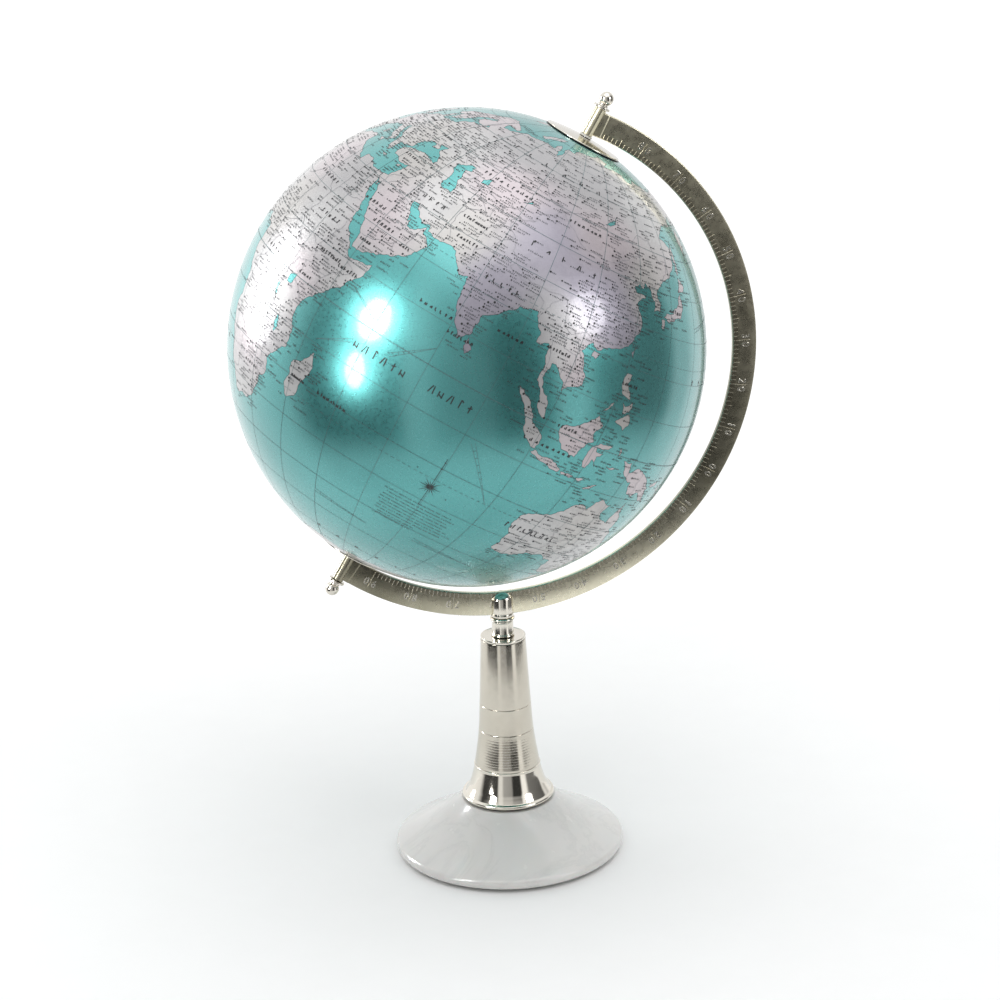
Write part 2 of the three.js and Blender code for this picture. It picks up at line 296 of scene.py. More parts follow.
class Nodes(Tree):
    """Short calls for building one Principled material."""

    def __init__(self, name):
        self.material = bpy.data.materials.new(name)
        self.material.use_nodes = True
        super().__init__(self.material.node_tree)
        self.shader = self.tree.nodes["Principled BSDF"]
        self.place = self.add("ShaderNodeTexCoord").outputs["Object"]

    def set(self, **values):
        for key, value in values.items():
            self.shader.inputs[key.replace("_", " ")].default_value = value
        return self

    def stretched(self, scale):
        node = self.add("ShaderNodeMapping")
        node.inputs["Scale"].default_value = scale
        self.link(self.place, node.inputs["Vector"])
        return node.outputs["Vector"]

    def noise(self, scale, detail=3.0, roughness=0.5, vector=None, distortion=0.0):
        """A noise with scale cells in a metre."""
        node = self.add("ShaderNodeTexNoise")
        node.inputs["Scale"].default_value = scale
        node.inputs["Detail"].default_value = detail
        node.inputs["Roughness"].default_value = roughness
        node.inputs["Distortion"].default_value = distortion
        self.link(vector or self.place, node.inputs["Vector"])
        return node.outputs["Fac"]

    def multiply(self, first, second):
        node = self.add("ShaderNodeMix", data_type="RGBA", blend_type="MULTIPLY")
        node.inputs["Factor"].default_value = 1.0
        self.link(first, node.inputs[MIX_A])
        self.link(second, node.inputs[MIX_B])
        return node.outputs[MIX_RESULT]

    def colour(self, value):
        self.link(value, self.shader.inputs["Base Color"])

    def rough(self, value):
        self.link(value, self.shader.inputs["Roughness"])

    def bump(self, value, distance, strength=1.0):
        node = self.add("ShaderNodeBump")
        node.inputs["Strength"].default_value = strength
        node.inputs["Distance"].default_value = distance
        self.link(value, node.inputs["Height"])
        self.link(node.outputs["Normal"], self.shader.inputs["Normal"])


def plated(name, light, dark, roughness, spread, grain, grain_depth, painted_highlight_spot=None):
    """Plated metal with soft staining, handling marks and tool grain along one direction, and where a spot
    is given, a painted reflection: light near the spot, shade in a ring round it.
    """
    n = Nodes(name).set(Metallic=1.0)
    stain = n.noise(38, 4, 0.6)
    tone = n.colours(stain, (0.3, dark), (0.52, light), (0.8, light))
    # Painted reflection and shade: the colour stays bright near the spot, is darkened in a ring round it
    # and brightens again further off.
    if painted_highlight_spot:
        far = n.add("ShaderNodeVectorMath", operation="DISTANCE")
        n.link(n.place, far.inputs[0])
        far.inputs[1].default_value = painted_highlight_spot
        distance = n.span(far.outputs["Value"], 0.0, 1.0, *PAINTED_REFLECTION_REACH)
        tone = n.multiply(tone, n.colours(distance, *PAINTED_REFLECTION_RAMP))
    n.colour(tone)
    marks = n.noise(210, 5, 0.7)
    n.rough(n.span(marks, roughness - spread, roughness + spread))
    lines = n.noise(1.0, 2, 0.4, n.stretched(grain))
    n.bump(lines, grain_depth)
    return n.material


def ink(name, colour, roughness):
    """Printed ink with an uneven, slightly worn deposit."""
    n = Nodes(name).set(Metallic=0.0)
    wear = n.noise(900, 4, 0.6)
    lifted = tuple(min(1.0, c * 1.9 + 0.02) for c in colour)
    n.colour(n.colours(wear, (0.3, colour), (0.75, lifted)))
    n.rough(n.span(wear, roughness - 0.08, roughness + 0.08))
    return n.material


SEA_DEEP, SEA_PALE = (0.088, 0.345, 0.342), (0.122, 0.425, 0.42)
SEA_FLECK = (0.86, 0.9, 0.9)
RELIEF_LOW, RELIEF_HIGH = (0.86, 0.86, 0.87), (0.93, 0.92, 0.93)
VARNISH = {"Coat_Weight": 0.7, "Coat_Roughness": 0.09}
STONE_DARK, STONE, STONE_LIGHT = (0.745, 0.735, 0.715), (0.77, 0.76, 0.74), (0.795, 0.785, 0.76)
VEIN_EDGE, VEIN, VEIN_FADE = (0.955, 0.955, 0.955), (0.925, 0.93, 0.93), (0.985, 0.985, 0.98)
FELT_DARK, FELT_LIGHT = (0.018, 0.05, 0.033), (0.05, 0.115, 0.08)


def varnished(n, smoothest, roughest):
    """The fine unevenness of the print under its varnish."""
    n.rough(n.span(n.noise(700, 4, 0.6), smoothest, roughest))
    n.bump(n.noise(1800, 3, 0.55), 0.00002, 0.5)
    return n.material


def sea_print():
    """Metallic turquoise print under clear varnish."""
    n = Nodes("sea_print").set(Metallic=0.88, **VARNISH)
    cloud = n.noise(16, 3, 0.5, distortion=0.4)
    tone = n.colours(cloud, (0.25, SEA_DEEP), (0.6, SEA_PALE))
    fleck = n.colours(n.noise(2600, 2, 0.5), (0.35, SEA_FLECK), (0.65, WHITE))
    n.colour(n.multiply(tone, fleck))
    return varnished(n, 0.25, 0.33)


def land_print():
    """Silvery pearl print tinted by the mesh's own colour layer, under clear varnish."""
    n = Nodes("land_print").set(Metallic=0.45, **VARNISH)
    tint = n.add("ShaderNodeVertexColor", layer_name="tint").outputs["Color"]
    relief = n.colours(n.noise(75, 6, 0.68, distortion=0.5),
                       (0.3, RELIEF_LOW), (0.52, WHITE), (0.75, RELIEF_HIGH))
    n.colour(n.multiply(tint, relief))
    return varnished(n, 0.3, 0.4)


def marble():
    """Polished white marble: clouded body, faint grey veins and a thin polish."""
    n = Nodes("white_marble").set(Coat_Weight=0.35, Coat_Roughness=0.08)
    n.set(Subsurface_Weight=0.06, Subsurface_Scale=0.003)
    body = n.colours(n.noise(20, 6, 0.6, distortion=0.5),
                     (0.28, STONE_DARK), (0.5, STONE), (0.75, STONE_LIGHT))
    warp = n.noise(9, 7, 0.62, n.stretched((1.0, 1.5, 0.8)), 1.4)
    vein = n.colours(warp, (0.46, WHITE), (0.495, VEIN_EDGE), (0.505, VEIN), (0.52, VEIN_FADE),
                     (0.56, WHITE))
    n.colour(n.multiply(body, vein))
    n.rough(n.span(n.noise(120, 4, 0.6), 0.16, 0.28))
    n.bump(n.noise(60, 3, 0.5), 0.00004, 0.5)
    return n.material


def felt():
    """Green felt with a rough pile."""
    n = Nodes("felt_pad").set(Sheen_Weight=0.4, Sheen_Roughness=0.6)
    fibre = n.noise(3200, 5, 0.75)
    n.colour(n.colours(fibre, (0.3, FELT_DARK), (0.7, FELT_LIGHT)))
    n.rough(n.span(fibre, 0.85, 0.98))
    n.bump(fibre, 0.0002)
    return n.material


def plain(name, light, dark, roughness, grain=900):
    """A matt material with a fine mottled surface."""
    n = Nodes(name)
    mottle = n.noise(grain, 4, 0.6)
    n.colour(n.colours(mottle, (0.3, dark), (0.7, light)))
    n.rough(n.span(mottle, roughness - 0.06, roughness + 0.06))
    n.bump(mottle, 0.00003, 0.6)
    return n.material


# Painted reflection on the arm: how much of the colour is kept, by distance from one bright spot; light
# there, shade in a ring, light again far off.
PAINTED_REFLECTION_RAMP = ((0.0, WHITE), (0.3, (0.30, 0.30, 0.29)), (0.7, (0.58, 0.57, 0.55)), (1.0, (0.98, 0.98, 0.95)))
PAINTED_REFLECTION_REACH = (0.03, 0.28)  # distances from the brightest place of the painted reflection on the arm
ARM_PAINTED_HIGHLIGHT = (0.035, 0.0, 0.15)  # the brightest place of the painted reflection on the arm, beside the column
NICKEL = (0.60, 0.565, 0.49)
NICKEL_DARK = (0.54, 0.505, 0.43)
ARM_NICKEL = (0.86, 0.815, 0.64)
ARM_NICKEL_DARK = (0.71, 0.67, 0.50)
CHROME = (0.72, 0.685, 0.61)
CHROME_DARK = (0.66, 0.625, 0.55)
FIGURE_NICKEL = (0.78, 0.75, 0.67)
# Colours of the ground between the raised scale marks: patina with painted shade, darker than the marks.
SHADED_PATINA_LIGHT, SHADED_PATINA_DARK = (0.40, 0.375, 0.29), (0.26, 0.24, 0.18)
ZINC_LIGHT, ZINC_DARK = (0.52, 0.53, 0.54), (0.40, 0.41, 0.42)
TURNED_GRAIN = (4.0, 4.0, 5200.0)
FLAT_GRAIN = (500.0, 500.0, 500.0)

SATIN_TURNED = plated("satin_nickel_turned", NICKEL, NICKEL_DARK, 0.13, 0.03, TURNED_GRAIN, 2e-6)
# The arm's satin nickel carries the painted reflection, bright beside the column and shaded along the bar.
SATIN_FLAT = plated("satin_nickel_flat", ARM_NICKEL, ARM_NICKEL_DARK, 0.28, 0.05, FLAT_GRAIN, 6e-6,
                    ARM_PAINTED_HIGHLIGHT)
RAISED_FACE = plated("raised_scale_nickel", FIGURE_NICKEL, NICKEL, 0.2, 0.04, FLAT_GRAIN, 3e-6)
# The scale's ground: patina with painted shade, with the arm's painted reflection on top.
PATINA_AND_SHADE = plated("scale_patina_and_painted_shade", SHADED_PATINA_LIGHT, SHADED_PATINA_DARK, 0.36, 0.06, FLAT_GRAIN, 8e-6, ARM_PAINTED_HIGHLIGHT)
POLISHED = plated("polished_nickel", CHROME, CHROME_DARK, 0.09, 0.03, TURNED_GRAIN, 1e-6)
POLISHED_CAP = plated("polished_nickel_cap", CHROME, CHROME_DARK, 0.13, 0.04, FLAT_GRAIN, 3e-6)
ZINC = plated("zinc_steel", ZINC_LIGHT, ZINC_DARK, 0.34, 0.07, FLAT_GRAIN, 9e-6)
SEA = sea_print()
LAND = land_print()
BOARD = plain("board", (0.68, 0.64, 0.55), (0.56, 0.52, 0.44), 0.8)
NYLON = plain("nylon", (0.84, 0.83, 0.78), (0.78, 0.77, 0.72), 0.42)
RUBBER = plain("gasket_rubber", (0.02, 0.02, 0.02), (0.012, 0.012, 0.012), 0.7)
MARBLE = marble()
FELT = felt()
LINE_INK = ink("graticule_ink", (0.055, 0.115, 0.12), 0.4)
NAME_INK = ink("lettering_ink", (0.028, 0.036, 0.040), 0.4)
BORDER_INK = ink("border_ink", (0.22, 0.22, 0.24), 0.4)
BLACK_INK = ink("black_ink", (0.010, 0.010, 0.012), 0.35)

# ---------------------------------------------------------------- map outlines, as longitude and latitude
COASTS = [
    # Africa
    [(-6, 35.8), (-2, 35), (3, 36.9), (10, 37.3), (11, 34), (15, 32.3), (19, 30.3), (20, 32.5), (23, 32.6),
     (25, 31.7), (29, 31), (32.3, 31.2), (32.6, 29.9), (33.6, 27.5), (35.5, 24), (37.2, 21), (37.4, 18.5),
     (39.2, 15.6), (41.2, 14), (43, 12.4), (43.2, 11.5), (45, 10.5), (49, 11.3), (51.2, 11.9), (50.8, 9.5),
     (49, 6.5), (47.5, 4), (45, 1.8), (42.5, -0.5), (40.5, -2.5), (39.3, -4.8), (39, -7), (39.6, -9.5),
     (40.6, -11.5), (40.6, -15), (38, -17.2), (36, -18.8), (34.8, -20.2), (35.4, -22.5), (35.5, -24),
     (32.9, -25.7), (32.7, -28), (31, -30), (28.5, -32.8), (25.7, -34), (22, -34.1), (20, -34.8),
     (18.4, -34), (18.2, -32), (16.8, -29), (15, -26.5), (14.4, -22.5), (12.5, -18.5), (11.8, -16),
     (13.5, -12.5), (13.2, -9), (12.2, -6), (9, -1), (9.5, 2), (9.6, 4), (8, 4.5), (5.5, 4.6), (4, 6.4),
     (1, 6), (-2, 4.8), (-4.5, 5.2), (-7.6, 4.4), (-9.5, 6), (-11.5, 7), (-13.3, 8.8), (-14.8, 11),
     (-16.8, 12.5), (-17.4, 14.7), (-16.3, 17), (-16.2, 20), (-17, 21), (-15.8, 24), (-14, 26.5),
     (-12.9, 28), (-10, 29.5), (-9.7, 31.5), (-7.5, 33.6)],
    # Asia and Europe, from Suez eastwards and back along the Mediterranean
    [(32.6, 29.9), (34.3, 27.8), (34.9, 29.4), (35.2, 28), (37, 25.5), (39, 22), (41, 19.5), (42.7, 16.5),
     (43.3, 12.9), (45, 12.8), (48.5, 14), (52.2, 15.6), (55.2, 17.3), (57.8, 19), (58.7, 20.6),
     (59.8, 22.5), (58.5, 23.7), (56.6, 24.6), (56.4, 26.3), (55.5, 25.4), (54, 24.2), (51.8, 24),
     (51.6, 25.9), (50.8, 25), (50, 26.7), (48.6, 28.4), (48, 29.9), (50, 30.2), (51, 28.8), (52.6, 27.4),
     (54.5, 26.6), (56.8, 27.1), (57.3, 25.7), (61.6, 25.1), (66.4, 25.3), (67.3, 24), (69, 22.3),
     (70.4, 20.8), (72.6, 21.6), (72.8, 19), (73.4, 16), (74.6, 13.5), (76, 10.5), (77.5, 8.1), (78.4, 9),
     (79.9, 10.3), (80.2, 13.3), (80.2, 15.5), (82.3, 16.7), (85, 19.5), (87, 21.4), (89, 21.8),
     (90.5, 22.2), (91.8, 22.4), (92.4, 20.6), (94.3, 18.5), (94.3, 16), (95.5, 15.8), (97.2, 17),
     (97.7, 15.5), (98.6, 12.5), (98.3, 8.5), (100.3, 6.3), (101.3, 3), (103.5, 1.3), (104.2, 1.4),
     (103.4, 4), (102.3, 6.2), (100.2, 7.5), (99.3, 9.5), (99.6, 11.5), (100, 13.3), (101, 13.4),
     (102.6, 12), (104.5, 10.4), (104.8, 8.6), (106.6, 10.3), (109.2, 11.8), (109.2, 13.8), (107.5, 16.5),
     (105.7, 18.8), (106.7, 20.5), (108.1, 21.6), (109.8, 20.4), (111.5, 21.6), (114.3, 22.4), (117, 23.4),
     (119.5, 25.5), (121.6, 28.5), (121.9, 30.8), (120.8, 32.8), (119.3, 34.9), (120.5, 36.2),
     (122.5, 37.1), (121, 37.7), (118.9, 37.4), (117.8, 38.9), (119.8, 39.9), (121.3, 39), (121.9, 40.8),
     (124.3, 39.9), (125.2, 38), (126.7, 37), (126.4, 34.6), (129.1, 35.2), (129.4, 37), (127.6, 39.6),
     (129.7, 41.5), (132, 43.2), (135.5, 44.5), (138.5, 47), (140.4, 50), (141.2, 53), (139, 54.2),
     (135.5, 54.8), (139, 57.5), (143, 59.3), (149, 59.6), (154, 59.5), (156, 61.5), (160, 61.8),
     (163, 62.5), (163.3, 60.2), (160, 58), (157, 57), (155.7, 55), (156.7, 51), (158.5, 53), (161.8, 55),
     (163, 57.5), (164.5, 59.8), (170.4, 60.1), (173.5, 61.7), (177.5, 62.5), (179.5, 62.3), (182, 65),
     (187, 64.5), (190, 66), (186, 67.2), (180, 69), (176, 69.9), (170, 70), (161, 69.5), (152, 71),
     (141, 72.7), (137, 71.5), (129, 71), (127, 73.3), (114, 73.7), (108, 73.5), (113, 75.8), (104, 77.6),
     (98, 76), (87, 75), (80.5, 73.5), (80, 72), (74.5, 72.6), (72.8, 71), (73.5, 68), (71.5, 66.5),
     (70, 68.6), (68.5, 72.6), (66.5, 70.5), (66, 69), (60.5, 69.6), (54, 68.6), (46, 68), (43.5, 66.3),
     (40, 64.8), (35, 64.3), (33, 66.7), (41, 66.4), (41, 67.8), (33, 69.5), (26, 71), (18, 69.5), (13, 66),
     (9, 63.5), (5.2, 61.5), (5.5, 59), (8, 58.1), (10.6, 59.3), (12, 57.5), (13, 55.5), (16.4, 56.5),
     (18.7, 59.8), (17.2, 61.5), (21.5, 64.4), (24, 65.8), (25.3, 65), (21.4, 62.5), (21.6, 60.7),
     (25, 60.1), (30, 59.9), (24, 59.3), (23.5, 58), (21.5, 57), (21, 55), (18.8, 54.5), (14.3, 54),
     (11, 54), (10.5, 56), (10.3, 57.6), (8.2, 56.8), (8.6, 54), (5, 53.3), (3.5, 51.4), (1.6, 50.6),
     (-1.5, 49.6), (-1.8, 48.6), (-4.7, 48.4), (-2, 47), (-1.2, 45), (-1.8, 43.4), (-8, 43.7), (-9.2, 43),
     (-8.8, 40), (-9.4, 38.6), (-8.8, 37), (-6.3, 36.6), (-5.4, 36.1), (-2, 36.8), (-0.3, 38.7),
     (0.3, 40.6), (3.2, 42), (4.5, 43.4), (7.5, 43.8), (8.9, 44.4), (10.3, 43), (12.3, 41.6), (15.7, 40),
     (16, 38), (17.2, 39), (18.4, 40.1), (16, 41.8), (13.6, 43.6), (12.4, 44.8), (13.7, 45.7), (15.5, 43.9),
     (19.4, 41.6), (20.3, 39.3), (21.5, 37.5), (22.8, 36.5), (23.6, 37.8), (22.8, 40.3), (26, 40.8),
     (28.4, 41.2), (28, 43), (30.5, 45.9), (33.3, 46.1), (33.6, 44.6), (36.5, 45.3), (35, 46.5),
     (38.5, 47.1), (37.5, 45), (41.5, 42), (41, 41), (36, 41.8), (31.5, 41.3), (29.2, 41), (26.5, 39.8),
     (27.3, 37), (30.6, 36.6), (33.5, 36.1), (36, 36.7), (35.8, 34.5), (34.5, 31.6), (32.3, 31.2)],
    # North and Central America
    [(-168, 65.6), (-162, 66.5), (-166.5, 68.3), (-156.5, 71.3), (-141, 69.6), (-128, 70.3), (-123, 69.5),
     (-115, 68), (-108, 68), (-102, 67.8), (-96, 68.2), (-94.5, 71.9), (-91, 69.5), (-87, 68), (-85, 69.5),
     (-81.5, 67.5), (-87, 64.5), (-94, 61), (-94.7, 58.8), (-92.5, 57), (-85, 55.3), (-82.3, 52.8),
     (-79.5, 51.5), (-78.8, 54.5), (-76.6, 57.2), (-78.3, 60), (-77.5, 62.4), (-71, 61), (-69, 58.9),
     (-65, 60), (-62, 57.5), (-57, 53.7), (-56.5, 52), (-60, 50.2), (-66.5, 50.2), (-69.5, 48), (-65, 49),
     (-64.5, 46.5), (-61, 45.7), (-65.7, 43.6), (-67, 44.8), (-70.3, 43.5), (-70.8, 42), (-74, 40.6),
     (-75.4, 38), (-76, 36.8), (-75.6, 35.2), (-78, 33.9), (-81.2, 31.5), (-81.3, 29.5), (-80.1, 26.8),
     (-80.7, 25.2), (-82.5, 27.8), (-84, 30), (-88, 30.3), (-90, 29.1), (-94, 29.6), (-97.2, 27.8),
     (-97.7, 22.5), (-96, 19), (-94.5, 18.2), (-91.5, 18.6), (-90.3, 21), (-87, 21.5), (-88, 18.3),
     (-88.8, 16), (-84, 15.8), (-83.3, 14.8), (-83.7, 11), (-81.5, 9), (-79.6, 9.6), (-77.4, 8.6),
     (-77.9, 7.3), (-80, 7.4), (-80.4, 8.3), (-83, 8.2), (-85.8, 10), (-87.6, 12.9), (-91.5, 14),
     (-94.5, 16.1), (-96.5, 15.7), (-101.8, 17.7), (-105.5, 20.2), (-105.6, 22.5), (-109.4, 25.9),
     (-112.2, 29), (-114.7, 31.6), (-113.6, 29), (-111.3, 26), (-109.5, 23), (-112.2, 25), (-114.7, 27.6),
     (-117.1, 32.5), (-120.6, 34.5), (-122.4, 37.2), (-124.3, 40.4), (-124, 46.2), (-124.6, 48.4),
     (-122.6, 48.8), (-127.5, 51.5), (-130.2, 54.8), (-134, 58.2), (-139.5, 59.8), (-146, 60.7),
     (-151.5, 59.2), (-154, 58.4), (-161, 55.2), (-164.5, 54.6), (-160, 56.5), (-157.5, 58.6), (-162, 58.8),
     (-165.5, 61.5), (-161, 64.4)],
    # South America
    [(-77.4, 8.6), (-75.5, 10.7), (-72, 12.2), (-71.5, 10.9), (-70, 12), (-68, 10.6), (-62, 10.7),
     (-60, 8.5), (-57, 6), (-51.7, 4.3), (-50, 1), (-48.5, -0.8), (-44.3, -2.6), (-39, -3.2), (-35.3, -5.2),
     (-34.9, -8), (-37.3, -11.5), (-39, -14), (-39.3, -18), (-41, -22), (-44.5, -23.2), (-48.5, -26),
     (-48.8, -28.5), (-52.2, -32.2), (-54.5, -34.8), (-58.2, -34.3), (-57, -36.5), (-61.9, -38.9),
     (-65, -41), (-63.8, -42.6), (-67.4, -46), (-65.9, -47.5), (-69, -51.5), (-68.4, -52.8), (-65.2, -54.7),
     (-69, -55.4), (-73.5, -52.8), (-75.5, -48.5), (-73.8, -42), (-73.5, -37.3), (-71.5, -32), (-70.5, -25),
     (-70.4, -18.4), (-76.2, -14), (-79, -8), (-81.3, -4.8), (-79.8, -2.7), (-80.8, -1), (-79, 1.6),
     (-77.2, 4.2), (-77.9, 7.3)],
    # Antarctica
    [(-169, -81), (-169, -78.2), (-158, -77.3), (-150, -76.5), (-135, -74.5), (-115, -73.8), (-100, -72.5),
     (-85, -73), (-75, -72.8), (-68, -69.5), (-65, -66), (-57.5, -63.4), (-61, -66.5), (-62, -71),
     (-61, -75), (-50, -78), (-35, -78), (-25, -74.5), (-10, -71), (10, -70), (30, -69.3), (40, -69.5),
     (50, -66.8), (60, -67.3), (73, -69.6), (80, -67.5), (95, -66.5), (110, -66), (130, -66.2), (145, -67),
     (155, -69), (165, -71), (171, -71.8), (164, -76.5), (167, -78.2), (180, -78.3), (191, -78.2),
     (191, -81)],
    # Greenland and the Arctic islands
    [(-43, 59.9), (-41, 63), (-38, 65.7), (-30, 68.2), (-22, 70.5), (-20, 74), (-18, 77), (-17, 81),
     (-62, 81), (-66, 80), (-68, 77.5), (-58, 75.5), (-54, 71), (-51, 69), (-53.5, 66.5), (-51, 63.5),
     (-48, 61)], [(-64, 81), (-90, 81), (-88, 77), (-78, 76.3)], [(-64.7, 61.8), (-62, 66.5), (-68, 70.2),
     (-77, 72.7), (-85, 73.8), (-89, 71), (-80, 70), (-73, 68.5), (-78, 65), (-72, 64)], [(-101, 69.5),
     (-105, 73), (-114, 73), (-118, 71.5), (-117, 69.8), (-105, 69)], [(-118, 73.2), (-122, 74.4),
     (-125.5, 73), (-124, 71.5)], [(-110, 75), (-97, 74.8), (-92, 77), (-110, 78)], [(51.5, 71.5),
     (55.5, 70.7), (57.5, 72.5), (68, 76.8), (61, 76.2), (54.5, 73.8)], [(11, 79), (16, 76.7), (22, 78.5),
     (25, 80), (16, 80)], [(-22.5, 64), (-18.7, 63.4), (-14, 64.8), (-15.5, 66.3), (-21, 66), (-24, 65.5)],
    # Britain and Ireland
    [(-5.5, 50.1), (1.3, 51.2), (1.6, 52.8), (0, 53.5), (-1.5, 55), (-2, 57.6), (-3.5, 58.6), (-5.5, 58.2),
     (-5.8, 56.3), (-4.8, 54.8), (-3, 54), (-4.5, 53.2), (-5.2, 51.9), (-3, 51.4)], [(-6.3, 52.2),
     (-9.8, 51.6), (-9.8, 53.8), (-8, 55.2), (-5.8, 54.5)],
    # Mediterranean islands
    [(12.6, 38), (15.4, 38.1), (15.1, 36.8)], [(8.3, 39), (9.7, 39.4), (9.2, 41.2), (8.3, 40.8)],
    [(23.6, 35.4), (26.2, 35.2), (24.7, 34.9)], [(32.4, 35), (34.3, 35.6), (33.6, 34.8)],
    # Madagascar and Sri Lanka
    [(49.3, -12), (50.4, -15.6), (49.3, -18.5), (47.5, -24), (45, -25.5), (43.4, -22), (44.3, -20),
     (44.2, -16.5), (47, -15.2), (48.5, -13.4)], [(80, 9.7), (81.8, 7.5), (80.8, 6), (79.8, 7.5)],
    # Japan, Sakhalin and Taiwan
    [(131, 34.2), (135.3, 33.8), (137, 34.6), (140, 35.1), (140.8, 36), (141.8, 39.5), (141.2, 41.4),
     (140, 40.5), (139.5, 38.5), (136.8, 37.2), (136, 35.7), (132.5, 35.4)], [(130, 33.5), (131.6, 33.5),
     (131.3, 31.4), (130.2, 31.3)], [(132.3, 33.6), (134.2, 34.2), (134.1, 33.4)], [(140.2, 41.6),
     (143.2, 42), (145.3, 43.3), (144.2, 44), (141.8, 45.4), (141.4, 43.3)], [(142, 46), (143.5, 49.2),
     (143, 54), (142, 53), (142.2, 49)], [(121.5, 25.2), (120.9, 22), (120.1, 23.2)], [(109, 20),
     (110.9, 20), (110, 18.4), (108.7, 18.7)],
    # Philippines
    [(120.5, 18.4), (122.2, 18.4), (121.6, 16), (124, 13), (120.7, 13.8), (119.9, 16.3)], [(122, 7),
     (123.8, 8.5), (125.5, 9.7), (126.5, 7.2), (125.4, 5.7), (124, 6.6)], [(122, 11.8), (123.2, 11),
     (125.3, 12.5), (125, 10.2), (123.2, 9.3)], [(117.2, 8.4), (119.6, 11.2), (118.6, 9.6)],
    # Borneo, Sulawesi, Sumatra, Java and the Lesser Sundas
    [(109, 1.5), (111.3, 2.3), (113.2, 3.2), (115.5, 5.5), (117, 7), (119.2, 5.2), (117.8, 3), (118.9, 1),
     (117.4, 0.3), (116.4, -2), (116, -4), (114.5, -4), (111.8, -3.4), (110, -1.6), (109, 0)],
    [(119.5, -5.4), (118.8, -2.8), (119.8, 0.3), (121, 1.2), (125, 1.5), (123.8, 0.4), (120.6, 0.2),
     (121, -1), (123.3, -0.9), (121.8, -2), (122.7, -4.4), (121, -2.9), (120.4, -5.5)], [(95.3, 5.6),
     (98, 4.2), (100.5, 2), (103.8, -1.2), (106, -3), (105.8, -5.8), (104.5, -5.7), (102, -3.8),
     (100.4, -1), (98.7, 1.6), (97.2, 3.2)], [(105.3, -6.8), (106.1, -5.9), (108.6, -6.8), (110.8, -6.4),
     (112.7, -6.9), (114.5, -7.8), (114.3, -8.6), (111, -8.2), (108, -7.8)], [(115, -8.3), (116.5, -8.3),
     (118.8, -8.2), (118, -9), (115.6, -8.9)], [(119.8, -8.4), (122.8, -8.2), (121, -9)], [(123.5, -10.3),
     (127, -8.4), (125, -9.3)], [(127.6, 1.8), (128.6, 1), (127.9, -0.8)], [(126.1, -3.4), (130.8, -3.1),
     (129, -3.5)],
    # New Guinea and the islands east of it
    [(131, -0.8), (134, -0.8), (135, -3.3), (138, -1.7), (141, -2.6), (145, -4.2), (147.8, -6.2),
     (147.2, -7), (150.7, -10.4), (147.5, -10), (144, -7.7), (142, -9.1), (139, -8.1), (138, -5.5),
     (133.5, -4), (132.5, -2.5)], [(148.4, -5.8), (152, -4.2), (151.8, -5.6)], [(154.7, -5.4),
     (160.5, -8.4), (161.8, -10.6), (158.5, -8.6)], [(164, -20.2), (167, -22.4), (165.6, -21.6)],
    [(177.3, -17.4), (178.6, -18.2), (177.4, -18.2)],
    # Australia, Tasmania and New Zealand
    [(114.2, -21.9), (113.5, -25), (115.7, -31.8), (115, -34.2), (118, -35), (123.5, -34), (126, -32.3),
     (131, -31.5), (134.3, -32.8), (137.8, -32.9), (138.2, -35.5), (140.5, -38), (144, -38.6), (146.5, -39),
     (149.9, -37.5), (151.5, -33), (153.2, -30), (153.2, -25), (150.8, -23), (149, -20.5), (146.3, -19),
     (145.3, -15.5), (143.5, -14.2), (142.5, -10.8), (141.5, -13.5), (140.8, -17.5), (138.5, -16.8),
     (135.5, -15), (136.9, -12.2), (132.6, -11.4), (130.8, -12.5), (129.5, -15), (127.5, -14), (125, -15),
     (123.5, -17.3), (122.1, -18), (119, -20)], [(144.7, -40.8), (148.2, -40.9), (147.8, -43.2),
     (146, -43.5)], [(172.8, -34.5), (175, -36.5), (178.4, -37.7), (176.9, -39.5), (175.2, -41.6),
     (173.9, -39.4), (174.7, -37.5)], [(172.7, -40.6), (174.2, -41.5), (172.7, -43.8), (170.6, -45.9),
     (168.4, -46.6), (166.6, -45.9), (170, -43.3)],
    # Caribbean, Newfoundland and Hawaii
    [(-84.8, 22), (-82.5, 23.1), (-77, 21.5), (-74.2, 20.2), (-77.6, 19.9), (-78.5, 21)], [(-74, 19.8),
     (-70, 19.8), (-68.4, 18.6), (-71.5, 17.9), (-74.3, 18.4)], [(-59.2, 47.7), (-55.6, 51.6), (-53, 47.6),
     (-56, 46.9)], [(-156, 20.2), (-154.9, 19.5), (-155.8, 19)],
]

LAKES = [
    [(47, 45), (51, 46.8), (53, 46.8), (53, 45), (51, 44.5), (52.5, 42), (53.8, 39), (53.8, 37), (50.5, 37),
     (49, 38.5), (49.5, 40.3), (47.5, 43)], [(58.3, 45), (61, 46.5), (61, 44.3), (58.5, 43.7)],
    [(31.8, -0.5), (34, 0.2), (33.5, -2.4), (31.8, -2.4)], [(104, 51.6), (108.5, 53), (109.8, 55.7),
     (108.6, 54), (105, 52)], [(73.6, 45.3), (76, 46.6), (79, 46.6), (75.5, 45.8)], [(29.2, -3.5),
     (30.3, -6), (31, -8.6), (29.6, -6)], [(34.1, -9.8), (35.2, -13), (34.5, -14)], [(30.6, 60.2),
     (32.7, 60.6), (31, 61.6)], [(-92, 46.8), (-88, 48.6), (-84.6, 46.6), (-88, 46.8)], [(-87.6, 41.8),
     (-86.3, 42.6), (-85.2, 45.6), (-87.6, 44.6)], [(-84, 45.8), (-80.2, 45.2), (-82.2, 43.2),
     (-83.4, 44.6)], [(-83.2, 41.8), (-79, 42.8), (-81, 42)], [(-97.8, 53.6), (-96.6, 50.6), (-98.8, 51.6)],
    [(-117, 61.2), (-109.6, 62.6), (-114, 60.9)], [(-124.6, 65.6), (-118.6, 66), (-121.6, 67)],
]

